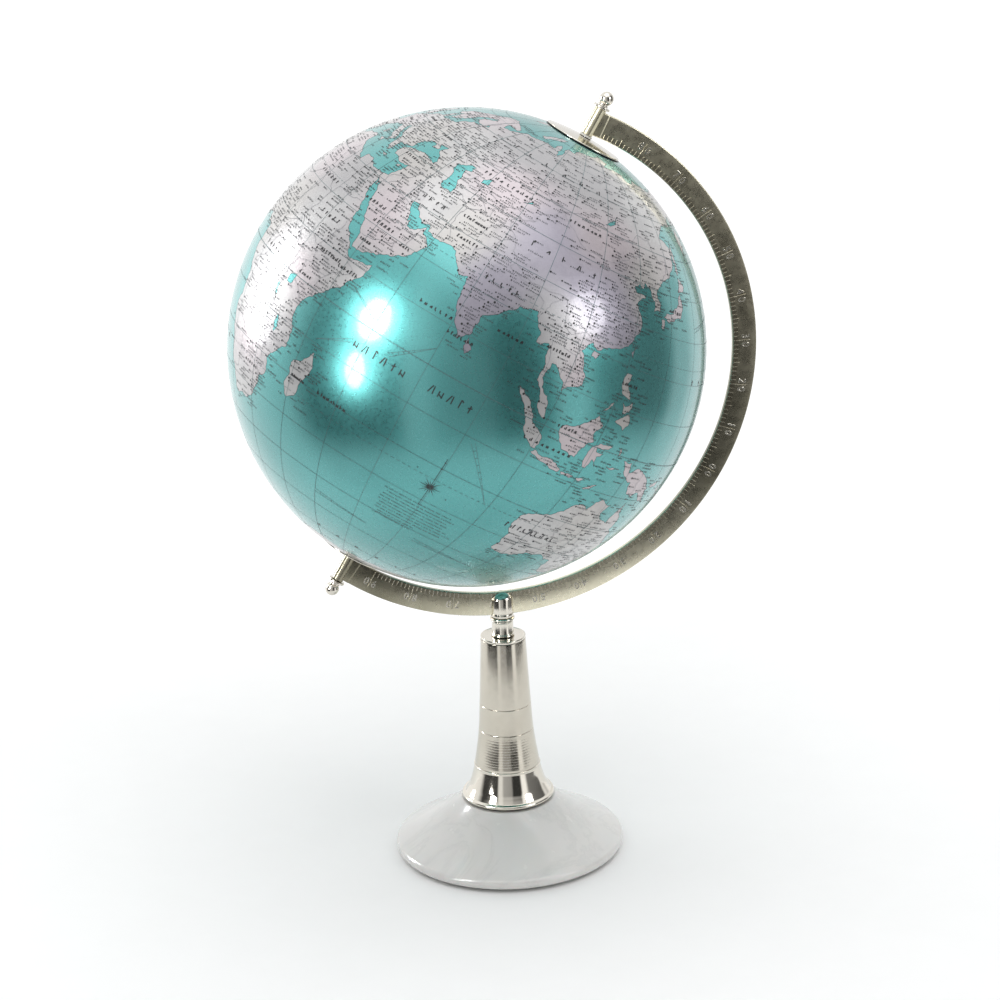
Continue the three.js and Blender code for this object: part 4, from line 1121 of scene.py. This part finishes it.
def compass(sheet):
    """A sixteen-pointed star on its meridian, with an arrow to the north."""
    lon, lat = COMPASS
    squeeze = math.cos(math.radians(lat))
    for k in range(16):
        angle = math.pi * k / 8
        reach = (COMPASS_LONG if k % 2 == 0 else COMPASS_SHORT) / DEGREE
        side = COMPASS_SPOKE / DEGREE
        sin, cos = math.sin(angle), math.cos(angle)
        mid_lon, mid_lat = 0.3 * reach * sin / squeeze, 0.3 * reach * cos
        tip = (lon + reach * sin / squeeze, lat + reach * cos)
        left = (lon + mid_lon + side * cos / squeeze, lat + mid_lat - side * sin)
        right = (lon + mid_lon - side * cos / squeeze, lat + mid_lat + side * sin)
        sheet.quad((lon, lat), left, tip, right)
    sheet.line([(lon, lat + 2), (lon, lat + 8.5)], ARROW_WIDTH)
    sheet.line([(lon, lat - 2), (lon, lat - 6)], TAIL_WIDTH)
    sheet.fan(lon, lat + 5.6, 0.6 * MM, 4)
    sheet.fan(lon, lat + 7.4, 0.5 * MM, 4)
    for turn_lon, turn_lat in ((-5.2, 3.2), (5.2, -1.2)):
        sheet.fan(lon + turn_lon, lat + turn_lat, 0.4 * MM, 4)


# Current arrows: tail and tip, in longitude and latitude
CURRENTS = [
    ((92.7, -11), (103.8, -23.6)), ((66, -3), (75, 4)), ((58, -4), (48, -9)), ((60, 2), (50, 6)),
    ((95, -43), (118, -44)), ((60, -45), (80, -46)), ((-15, -10), (-32, -9)), ((-70, 33), (-52, 42)),
    ((-160, 8), (178, 9)), ((150, 33), (172, 37)), ((-90, -8), (-118, -6)), ((-30, -45), (-8, -46)),
    ((160, -46), (184, -47)), ((-140, 36), (-128, 30)),
]


def currents(sheet):
    """Ocean currents as slim wedges with cross strokes."""
    for (x0, y0), (x1, y1) in CURRENTS:
        if abs(x1 - x0) > 180:
            x1 -= math.copysign(360, x1 - x0)
        squeeze = math.cos(math.radians((y0 + y1) / 2))
        dx, dy = x1 - x0, y1 - y0
        length = math.hypot(dx * squeeze, dy)
        ox, oy = dy / length * CURRENT_TAIL / squeeze, -dx * squeeze / length * CURRENT_TAIL
        sheet.line([(x0 - ox, y0 - oy), (x1, y1)], LINE_WIDTH)
        sheet.line([(x0 + ox, y0 + oy), (x1, y1)], LINE_WIDTH)
        for k in range(1, 7):
            s = k / 9
            sheet.line([(x0 + side * ox * (1 - s) + dx * s, y0 + side * oy * (1 - s) + dy * s)
                        for side in (-1, 1)], LINE_WIDTH)


def sea_coast_marks(sheet, coasts, room, rng):
    """Names printed in the sea beside the coasts."""
    for outline in coasts:
        for lon, lat in outline:
            for _ in range(SEA_NAMES):
                x = lon + rng.uniform(-3.4, 2.0)
                y = round((lat + rng.uniform(-2.4, 2.4)) / ROW_PITCH) * ROW_PITCH
                height, letters = rng.choice(NAME_HEIGHTS), rng.randint(3, 9)
                width = height / DEGREE * LETTER_PITCH * letters
                far = x + width / math.cos(math.radians(min(abs(y), 80)))
                dry = any(inside(c, end, y) for c in coasts for end in (x, far))
                if abs(lat) < 70 and not dry and room.claim(x, y, width):
                    mock_words(sheet, x, y, height, letters, rng)


def map_ball():
    """The printed ball: half shells first, then each ink in turn."""
    rng = random.Random(11)
    coasts = [wander(c, rng, COAST_DETAIL) for c in COASTS]
    lakes = [wander(c, rng, COAST_DETAIL) for c in LAKES]
    build_shells(coasts, lakes)
    grid = Print()
    graticule(grid)
    currents(grid)
    grid.build("printed_graticule", LINE_INK)
    edge = Print()
    for outline in coasts + lakes:
        edge.line([p for p in outline + outline[:1] if abs(p[1]) < POLAR_EDGE - 0.1], COAST_WIDTH)
    edge.build("printed_coast_edges", NAME_INK, COAST_LIFT)
    borders = Print()
    for line in BORDERS:
        borders.line(wander(line, rng, BORDER_DETAIL, closed=False), BORDER_WIDTH)
    borders.build("printed_borders", BORDER_INK, BORDER_LIFT)
    dots, names, big = Print(), Print(), Print()
    room = Room()
    for lon, lat, tall, letters, spacing in LARGE_NAMES:
        for share in (-0.5, 0.5, 1.5):
            room.claim(lon, lat + share * tall * MM / DEGREE,
                       tall * MM / DEGREE * letters * LETTER_PITCH * spacing)
    towns(dots, names, coasts, room, rng)
    sea_coast_marks(names, COASTS, room, rng)
    ocean_names(names, big, rng)
    compass(big)
    dots.build("printed_towns", BLACK_INK, TOWN_LIFT)
    names.build("printed_mock_names", NAME_INK, NAME_LIFT)
    big.build("printed_compass_and_mock_titles", BLACK_INK, TITLE_LIFT)


map_ball()

# ---------------------------------------------------------------- polar fittings
SPACER = [(1.9, 128.4, 0), (3.4, 128.4, 0.15), (3.4, 129.3, 0.15), (1.9, 129.3, 0)]
COLLAR = [(1.9, 145.2, 0), (4.6, 145.2, 0.3), (4.6, 146.4, 0.35), (1.9, 146.4, 0)]
FINIAL_BALL = arc(0, 150.74, 3.8, -48.9, 90, 20)
CAP_HOLE, CAP_BEAD = 3.1, 0.42  # radii in millimetres
CAP_LINE_GAP = 0.7 * MM


def finial_profile():
    """A ball nut with a turned neck."""
    neck = [(0, 148.2, 0), (1.9, 148.2, 0), (1.9, 146.7, 0), (2.9, 146.7, 0.2), (2.9, 147.2, 0.2),
            (2.5, 147.4, 0.1)]
    return neck + FINIAL_BALL[:-1] + [(0, 154.54, 0)]


def cap_profile():
    """A thin domed cap with a rolled edge, round the axle."""
    mid = (CAP_INNER + CAP_OUTER) / 2 / MM
    edge = math.degrees(math.acos(CAP_CIRCLE / MM / mid))
    hole = math.degrees(math.acos(CAP_HOLE / mid))
    outer = arc(0, 0, CAP_OUTER / MM, edge + 0.12, hole, 24)
    inner = arc(0, 0, CAP_INNER / MM, hole, edge + 0.12, 24)
    edge_r, edge_h = mid * math.cos(math.radians(edge)), mid * math.sin(math.radians(edge))
    return outer + inner + arc(edge_r, edge_h, CAP_BEAD, edge - 180, edge, 8)


def cap_line(sheet, sign):
    """The black line printed round a polar cap."""
    colat = math.degrees(math.asin((CAP_CIRCLE + CAP_LINE_GAP) / GLOBE_RADIUS))
    sheet.line([(lon, sign * (90 - colat)) for lon in np.arange(WEST, EAST + 0.1, 4)], CAP_RING_WIDTH)


def polar_fittings():
    """Caps, spacers, collars and finials at both ends of the axle."""
    ring = Print()
    for sign in (1, -1):
        cap_line(ring, sign)
    ring.build("printed_cap_lines", BLACK_INK, CAP_RING_LIFT)
    for side, base in (("north", POLAR), ("south", SOUTH_POLAR)):
        turned(f"{side}_cap_dome", cap_profile(), POLISHED_CAP, "globe",
               [f"{side}_polar_cap"], base)
        turned(f"{side}_spacer_washer", SPACER, NYLON, "stand", [f"{side}_spacer"], base, 64)
        turned(f"{side}_collar_ring", COLLAR, POLISHED_CAP, "stand",
               [f"{side}_collar"], base, 96)
        turned(f"{side}_ball_finial", finial_profile(), POLISHED_CAP, "stand",
               [f"{side}_finial"], base, 96)


polar_fittings()

# ---------------------------------------------------------------- graduated arm
MIDDLE = (ARM_INNER + ARM_OUTER) / 2
POLE_ANGLE = math.pi / 2 + math.asin(ARM_OFFSET / MIDDLE)
LUG_START = POLE_ANGLE - LUG_LENGTH / MIDDLE
END_ANGLE = POLE_ANGLE + ARM_END / MIDDLE
EDGE_ROUND = 0.45 * MM
BOSS = [(1.9, 129.6, 0), (3.1, 129.6, 0.25), (3.1, 144.9, 0.25), (1.9, 144.9, 0)]


def arm_point(angle, radius, depth):
    """A point of the arm: angle from its middle towards north, radius and depth along Y."""
    return ARM_CENTRE + radius * (math.cos(angle) * BOW + math.sin(angle) * AXIS) + depth * BACK


def rounded_section(inner, outer, thickness, corner, steps=4):
    """A rectangle with round corners in the (radius, depth) plane."""
    out = []
    half = thickness / 2
    centres = [(outer - corner, half - corner, 0), (inner + corner, half - corner, 90),
               (inner + corner, corner - half, 180), (outer - corner, corner - half, 270)]
    for r, d, start in centres:
        for k in range(steps + 1):
            a = math.radians(start + 90 * k / steps)
            out.append((r + corner * math.cos(a), d + corner * math.sin(a)))
    return out


def sector(inner, outer, thickness, start, end, steps, corner):
    """A curved bar with round edges and slightly rounded ends."""
    trim = corner / MIDDLE
    stops = [(start, 1.0), (start + 0.3 * trim, 0.3), (start + trim, 0.0)]
    stops += [(start + trim + (end - start - 2 * trim) * k / steps, 0.0) for k in range(1, steps)]
    stops += [(end - trim, 0.0), (end - 0.3 * trim, 0.3), (end, 1.0)]
    points, faces, count = [], [], 0
    for angle, inset in stops:
        shrink = corner * inset
        section = rounded_section(inner + shrink, outer - shrink, thickness - 2 * shrink,
                                  corner * (1 - 0.6 * inset))
        count = len(section)
        points += [arm_point(angle, r, d) for r, d in section]
    for i in range(len(stops) - 1):
        for k in range(count):
            j = (k + 1) % count
            faces.append([i * count + k, i * count + j, (i + 1) * count + j, (i + 1) * count + k])
    faces.append(list(range(count))[::-1])
    faces.append([(len(stops) - 1) * count + k for k in range(count)])
    return points, faces


def arm():
    """The curved bar with its thick ends and the boss tubes round the axle."""
    bar = sector(ARM_INNER, ARM_OUTER, ARM_THICKNESS, -END_ANGLE, END_ANGLE, 220, EDGE_ROUND)
    north_lug = sector(ARM_INNER, ARM_OUTER, LUG_THICKNESS, LUG_START, END_ANGLE, 10, EDGE_ROUND)
    south_lug = sector(ARM_INNER, ARM_OUTER, LUG_THICKNESS, -END_ANGLE, -LUG_START, 10, EDGE_ROUND)
    bosses = [turn(BOSS, base, 64) for base in (POLAR, SOUTH_POLAR)]
    points, faces = merge([bar, north_lug, south_lug] + bosses)
    add_mesh("graduated_arm", points, faces, [SATIN_FLAT], "stand", ["meridian_arm"], 40)


# The scale cast on the front face
TICK_WIDTH = 0.55 * MM
TICK_LENGTHS = {1: 3.0 * MM, 5: 4.3 * MM, 10: 9.6 * MM}
FACE = -ARM_THICKNESS / 2
RAISED = 0.38 * MM
SHADED_GROUND_LIFT = 0.02 * MM
SHADED_GROUND_LENGTH = 2.7 * MM
DIGIT_HEIGHT = 4.3 * MM
DIGIT_RADIUS = ARM_INNER + 7.0 * MM
DIGIT_GAP = 2.35 * MM  # from the tick to the middle of each digit
DIGIT_WIDTH = 0.92
NORTH_STRETCH = 1.05  # the northern half of the scale runs a little wide
SOUTH_END, NORTH_END = -90, 89  # the degrees between which the scale is marked
GROUND_SPAN = (0.18, 0.82)  # the part of each degree that is darkened


def digit_solid(character):
    """One raised figure with bevelled edges, centred, one unit tall."""
    curve = bpy.data.curves.new("figure", "FONT")
    curve.body = character
    curve.resolution_u = 3
    curve.extrude = 0.03
    curve.bevel_depth = 0.022
    curve.bevel_resolution = 1
    curve.offset = -0.004
    holder = placed("figure", curve)
    mesh = worked_out(holder)
    points = np.array([tuple(v.co) for v in mesh.vertices])
    faces = [list(p.vertices) for p in mesh.polygons]
    low, high = points.min(0), points.max(0)
    points = (points - (low + high) / 2) / (high[1] - low[1])
    bpy.data.objects.remove(holder)
    return points, faces


def quad_on_arm(low, high, start, end, depth):
    return [arm_point(low, start, depth), arm_point(high, start, depth),
            arm_point(high, end, depth), arm_point(low, end, depth)]


def tick(angle, start, end, half):
    """A raised bar with sloping sides, pointing outwards from the inner edge."""
    corners = []
    for depth, shrink in ((FACE, 0.0), (FACE - 0.6 * RAISED, 0.1), (FACE - RAISED, 0.5)):
        side = half * (1 - shrink) / MIDDLE
        inset = half * shrink
        corners += quad_on_arm(angle - side, angle + side, start + inset, end - inset, depth)
    faces = [[8, 9, 10, 11]]
    for low in (0, 4):
        faces += [[low + k, low + (k + 1) % 4, low + 4 + (k + 1) % 4, low + 4 + k] for k in range(4)]
    return corners, faces


def scale_angle(degree):
    """Where a degree of the scale lies on the arm."""
    return math.radians(degree * (NORTH_STRETCH if degree > 0 else 1.0))


def shaded_ground_between(degree):
    """The darkened ground between two degree marks: patina with painted shade in the hollow."""
    low, high = (scale_angle(degree + share) for share in GROUND_SPAN)
    start = ARM_INNER + EDGE_ROUND
    return quad_on_arm(low, high, start, start + SHADED_GROUND_LENGTH, FACE - SHADED_GROUND_LIFT), [[0, 1, 2, 3]]


def figure_at(angle, points):
    """A digit's points laid on the arm's front face, with its top outwards."""
    up = math.cos(angle) * BOW + math.sin(angle) * AXIS
    right = math.sin(angle) * BOW - math.cos(angle) * AXIS
    middle = arm_point(angle, DIGIT_RADIUS, FACE)
    return [middle + DIGIT_HEIGHT * (DIGIT_WIDTH * x * right + y * up - z * BACK) for x, y, z in points]


def scale_marks():
    """Raised degree marks and figures, and the ground between the marks, darkened with patina and painted
    shade.
    """
    parts = []
    for degree in range(SOUTH_END, NORTH_END + 1):
        step = 10 if degree % 10 == 0 else 5 if degree % 5 == 0 else 1
        start, end = ARM_INNER + EDGE_ROUND, ARM_INNER + TICK_LENGTHS[step]
        parts.append(tick(scale_angle(degree), start, end, TICK_WIDTH / 2))
    figures = {c: digit_solid(c) for c in "0123456789"}
    for degree in range(SOUTH_END, NORTH_END + 1, 10):
        text = f"{abs(degree)}" if degree else "00"
        for character, side in ((text[0], 1), (text[1], -1)):
            points, faces = figures[character]
            angle = scale_angle(degree) + side * DIGIT_GAP / DIGIT_RADIUS
            parts.append((figure_at(angle, points), faces))
    points, faces = merge(parts)
    add_mesh("arm_raised_scale", points, faces, [RAISED_FACE], "stand", [], 30)
    points, faces = merge([shaded_ground_between(degree) for degree in range(SOUTH_END, NORTH_END)])
    add_mesh("arm_scale_ground", points, faces, [PATINA_AND_SHADE], "stand", [], 0)


arm()
scale_marks()

# ---------------------------------------------------------------- stand
# Profiles are lists of (radius, height, fillet) in millimetres.


def base_profile():
    """The stone disc: round rim, hollow slope up to the foot, recess for the nut."""
    rim = arc(60.2, 5.0, 3.2, -90, 62, 16)
    start, control, end = np.array(rim[-1][:2]), np.array([35.5, 21.4]), np.array([26.0, 30.9])
    slope = []
    for k in range(1, 25):
        t = k / 24
        p = (1 - t) ** 2 * start + 2 * t * (1 - t) * control + t**2 * end
        slope.append((p[0], p[1], 0))
    return [(11, 1.8, 0.3)] + rim + slope[:-1] + [(26, 30.9, 0.5), (4, 30.9, 0.2), (4, 12, 0), (11, 12, 0)]


def foot_profile():
    """The polished bell between its rolled bead and its collar."""
    bead = arc(24.4, 33.2, 1.2, -80, 80, 14)
    flare = smooth_line([(23.9, 34.6), (22.4, 37.1), (20.9, 40), (19.4, 45), (18.3, 49.8)], 8)
    collar_ring = [(18.3, 49.9, 0.05), (18.45, 50.1, 0.05), (18.45, 50.9, 0.12), (18.05, 51.0, 0.03),
                   (18.0, 51.2, 0), (9, 51.2, 0)]
    return [(9, 32, 0), (24.2, 32, 0.1)] + bead + [(24.1, 34.5, 0.05)] + flare + collar_ring


WAIST = [(18, 51.5), (16.1, 64), (15, 74), (14.2, 88), (13.4, 104), (12.4, 125.1)]
COLUMN_BOTTOM, COLUMN_TOP, COLUMN_BORE = 51.22, 125.1, 9
# Grooves round the column: height, half width and depth
RINGS = [(54.0 + 1.5 * k, 0.3, 0.006) for k in range(11)]
HAIRLINES = [(72.0, 0.2, 0.2), (87.0, 0.2, 0.2)]


def column_profile():
    """The slim tapered column, with rings and hairlines turned into it."""
    curve = smooth_line(WAIST, 16)
    heights = [h for _, h, _ in curve]
    radii = [r for r, _, _ in curve]
    stops = [(h, 0.0) for h in heights]
    for h, half, depth in sorted(RINGS + HAIRLINES):
        stops = [(s, d) for s, d in stops if abs(s - h) > half + 0.1]
        stops += [(h - half, 0.0), (h - half * 0.3, depth), (h + half * 0.3, depth), (h + half, 0.0)]
    wall = [(float(np.interp(h, heights, radii)) - depth, h, 0.06) for h, depth in sorted(stops)]
    wall[0] = (wall[0][0], COLUMN_BOTTOM, 0.04)
    wall[-1] = (wall[-1][0], wall[-1][1], 0.2)
    return [(COLUMN_BORE, COLUMN_BOTTOM, 0)] + wall + [(COLUMN_BORE, COLUMN_TOP, 0)]


GASKET = [(3.3, 31.2, 0), (23.5, 31.2, 0.1), (23.5, 31.7, 0.1), (3.3, 31.7, 0)]
TOP_PLATE = [(3.3, 125.4, 0), (12.4, 125.4, 0.25), (12.4, 126.9, 0.35), (11.5, 126.9, 0.1),
             (11.3, 126.75, 0.1), (3.3, 126.75, 0)]
SLEEVE = [(5.1, 127.2, 0), (6.3, 127.2, 0.2), (6.3, 128.0, 0.3), (5.95, 128.3, 0.1), (5.85, 134.9, 0.1),
          (6.05, 135.2, 0.1), (6.05, 135.9, 0.15), (5.1, 135.9, 0)]
TRIM = [(5.1, 136.2, 0), (6.5, 136.2, 0.2), (6.8, 136.6, 0.2), (6.8, 137.3, 0.25), (6.3, 137.7, 0.15),
        (5.1, 137.7, 0)]
FORK_STEM = [(3.3, 127.2, 0), (4.8, 127.2, 0), (4.8, 138.0, 0)]
FORK_HEAD = [(5.95, 138.0, 0.15), (6.25, 138.5, 0.15), (6.25, 140.0, 0.05), (6.1, 140.2, 0.05),
             (6.1, 140.6, 0.05), (6.25, 140.8, 0.05), (6.25, 147.5, 0)]
FORK_BORE = [(0, 152.4, 0), (0, 136, 0), (3.3, 136, 0)]
FORK_SLOT = 3.8
FORK_ROUND = 0.22 * MM
SLOT_LOW = 138.9
SCREW_HEIGHT = 144.7
SCREW = [(0, 1.9, 0), (1.5, 1.9, 0.1), (1.5, 5.9, 0.2), (0, 5.9, 0)]
SCREW_BORE = [(0, -12, 0), (1.8, -12, 0), (1.8, 0, 0), (0, 0, 0)]
SCREW_SOCKET = [(0, 4.6, 0), (0.85, 4.6, 0), (0.85, 8, 0), (0, 8, 0)]
SIDE, _, UP = np.eye(3)


def fork_profile():
    """The bullet-shaped head on its stem, before the slot is cut."""
    radius, shoulder, _ = FORK_HEAD[-1]
    nose = [(radius * math.cos(a), shoulder + 4.9 * math.sin(a), 0)
            for a in np.linspace(0.08, math.pi / 2 - 0.04, 18)]
    return FORK_STEM + FORK_HEAD + nose + FORK_BORE


def fork():
    """The head with its slot for the arm and the bore of its set screw."""
    piece = turned("slotted_fork", fork_profile(), POLISHED, "stand", ["arm_fork"])
    slot_box = cutter_box((-20, -FORK_SLOT / 2, SLOT_LOW), (20, FORK_SLOT / 2, 170))
    base = (SCREW_HEIGHT * MM * UP, SIDE, UP, -BACK)
    bore = cutter(*turn(SCREW_BORE, base, 48))
    carve(piece, [slot_box, bore], FORK_ROUND)


def set_screw():
    """The screw in the back prong, with its hexagon socket."""
    base = (SCREW_HEIGHT * MM * UP, -SIDE, UP, BACK)
    piece = turned("fork_grub_screw", SCREW, ZINC, "stand", ["fork_set_screw"], base, 48)
    carve(piece, [cutter(*turn(SCREW_SOCKET, base, 6))], 0)


def stand():
    """Everything between the table and the arm."""
    turned("marble_base", base_profile(), MARBLE, "stand", ["base_disc"], count=192)
    turned("foot_gasket_ring", GASKET, RUBBER, "stand", ["foot_gasket"])
    turned("flared_foot", foot_profile(), POLISHED, "stand", ["column_foot"], count=192)
    turned("turned_column", column_profile(), SATIN_TURNED, "stand", ["column_body"],
           count=160)
    turned("column_top_plate", TOP_PLATE, POLISHED_CAP, "stand", ["column_cap"])
    turned("neck_tube", SLEEVE, POLISHED, "stand", ["neck_sleeve"], count=96)
    turned("neck_ring", TRIM, POLISHED, "stand", ["trim_ring"], count=96)
    fork()
    set_screw()


stand()


def dress_cad():
    """Better materials for the CAD pieces that stay as they are."""
    finishes = {"base_pad": FELT, "tie_washer": ZINC, "lock_washer": ZINC, "tie_nut": ZINC, "tie_rod": ZINC,
                "axle_rod": ZINC, "equator_band": BOARD, "north_bush": NYLON, "south_bush": NYLON}
    for node, material in finishes.items():
        mesh = frame["nodes"][node].data
        mesh.materials.clear()
        mesh.materials.append(material)


dress_cad()

# ---------------------------------------------------------------- camera, floor and light
CAMERA_PLACE = (-0.29199, -1.58767, 0.77479)
CAMERA_HEADING = -10.453  # degrees about Z from +Y
CAMERA_PITCH = 19.4388
CAMERA_ROLL = -1.9506
CAMERA_LENS = 113.927
CAMERA_SENSOR = 36.0
FLOOR_RADIUS = 0.36
FLOOR_SIDES = 128
FLOOR_LIGHT, FLOOR_DARK = (0.97, 0.97, 0.97), (0.955, 0.955, 0.955)


def camera():
    """The camera at the photo's viewing angle."""
    data = bpy.data.cameras.new("camera")
    data.lens = CAMERA_LENS
    data.sensor_width = CAMERA_SENSOR
    data.clip_start, data.clip_end = 0.05, 50
    eye = placed("camera", data)
    heading, pitch, roll = (math.radians(a) for a in (CAMERA_HEADING, CAMERA_PITCH, CAMERA_ROLL))
    level = math.cos(pitch)
    forward = Vector((-math.sin(heading) * level, math.cos(heading) * level, -math.sin(pitch)))
    right = Vector((math.cos(heading), math.sin(heading), 0))
    up = right.cross(forward)
    rolled = math.cos(roll) * right + math.sin(roll) * up
    rolled_up = -math.sin(roll) * right + math.cos(roll) * up
    turned_to = Matrix((rolled, rolled_up, -forward)).transposed().to_4x4()
    eye.matrix_world = Matrix.Translation(CAMERA_PLACE) @ turned_to
    bpy.context.scene.camera = eye


def floor():
    """A pale disc under the stand. Past it the studio is plain white."""
    angles = [2 * math.pi * k / FLOOR_SIDES for k in range(FLOOR_SIDES)]
    points = [(FLOOR_RADIUS * math.cos(a), FLOOR_RADIUS * math.sin(a), 0) for a in angles]
    paint = plain("pale_floor", FLOOR_LIGHT, FLOOR_DARK, 0.8, 40)
    placed("floor", new_mesh("floor", points, [range(FLOOR_SIDES)], [paint]))


STUDIO = 1.14
WHITE_ABOVE = (0.45, 0.85)  # how steeply upwards the sides fade to white
PALE_BELOW, BELOW = (-0.42, -0.6), 0.9  # how steeply downwards they fade to a pale grey
# How bright the studio's sides are: heading in degrees from the front, towards the right
STUDIO_SIDES = [
    (-178, 1.0), (-128, 1.0), (-104, 0.85), (-98, 0.5), (-90, 0.05), (-44, 0.05), (-39, 0.85),
    (-30, 0.85), (-24, 0.42), (0, 0.34), (5, 0.04), (29, 0.04), (34, 1.1), (46, 1.1), (54, 0.2),
    (100, 0.12), (107, 0.9), (118, 0.6), (126, 1.0), (160, 0.8), (178, 1.0),
]


def surroundings():
    """A white studio with soft grey sides, so that bright metal has something to mirror."""
    world = bpy.data.worlds.new("studio")
    bpy.context.scene.world = world
    world.use_nodes = True
    t = Tree(world.node_tree)
    direction = t.add("ShaderNodeSeparateXYZ")
    t.link(t.add("ShaderNodeTexCoord").outputs["Generated"], direction.inputs["Vector"])
    front = t.add("ShaderNodeMath", operation="MULTIPLY")
    front.inputs[1].default_value = -1.0
    t.link(direction.outputs["Y"], front.inputs[0])
    heading = t.add("ShaderNodeMath", operation="ARCTAN2")
    t.link(direction.outputs["X"], heading.inputs[0])
    t.link(front.outputs[0], heading.inputs[1])
    around = t.span(heading.outputs[0], 0.0, 1.0, math.pi, -math.pi)
    stops = [(0.5 - azimuth / 360, (value,) * 3) for azimuth, value in reversed(STUDIO_SIDES)]
    sides = t.colours(around, *stops)
    rise = direction.outputs["Z"]
    high = t.fade(t.span(rise, 0.0, 1.0, *WHITE_ABOVE), sides, 1.0)
    low = t.fade(t.span(rise, 0.0, 1.0, *PALE_BELOW), high, BELOW)
    seen = t.fade(t.add("ShaderNodeLightPath").outputs["Is Camera Ray"], low, 1.0)
    background = t.tree.nodes["Background"]
    t.link(seen, background.inputs["Color"])
    background.inputs["Strength"].default_value = STUDIO


# Softboxes: name, heading and height angle seen from the globe, distance, width, height, power, tilt.
# Only the overhead one lights matt surfaces. The others are there for the highlights.
SOFTBOXES = [
    ("strip_left", -127.0, 11.0, 1.3, 0.24, 0.62, 9.0, 12.0),
    ("front_left", -56.5, 25.0, 1.5, 0.38, 0.48, 9.5, -14.0),
    ("low_left", -62.0, 3.0, 1.5, 0.25, 0.40, 5.0, -6.0),
    ("front_right", 52.0, 20.0, 1.5, 0.50, 0.45, 4.2, 0.0),
    ("overhead", 20.0, 78.0, 1.6, 1.6, 1.6, 7.4, 0.0),
]
ROUND_LIGHTS = ("front_left", "low_left", "front_right")


def softboxes():
    """Area lights that face the globe's centre."""
    for name, heading, rise, distance, width, height, power, tilt in SOFTBOXES:
        data = bpy.data.lights.new(name, "AREA")
        data.shape = "ELLIPSE" if name in ROUND_LIGHTS else "RECTANGLE"
        data.size, data.size_y = width, height
        data.energy = power
        a, e = math.radians(heading), math.radians(rise)
        away = Vector((math.sin(a) * math.cos(e), -math.cos(a) * math.cos(e), math.sin(e)))
        lamp = placed(name, data)
        lamp.visible_diffuse = name == "overhead"
        facing = away.to_track_quat("Z", "Y").to_matrix().to_4x4()
        lamp.matrix_world = (Matrix.Translation(Vector(CENTRE) + distance * away) @ facing
                             @ Matrix.Rotation(math.radians(tilt), 4, "Z"))


camera()
floor()
surroundings()
softboxes()
bpy.context.scene.view_settings.view_transform = "Standard"
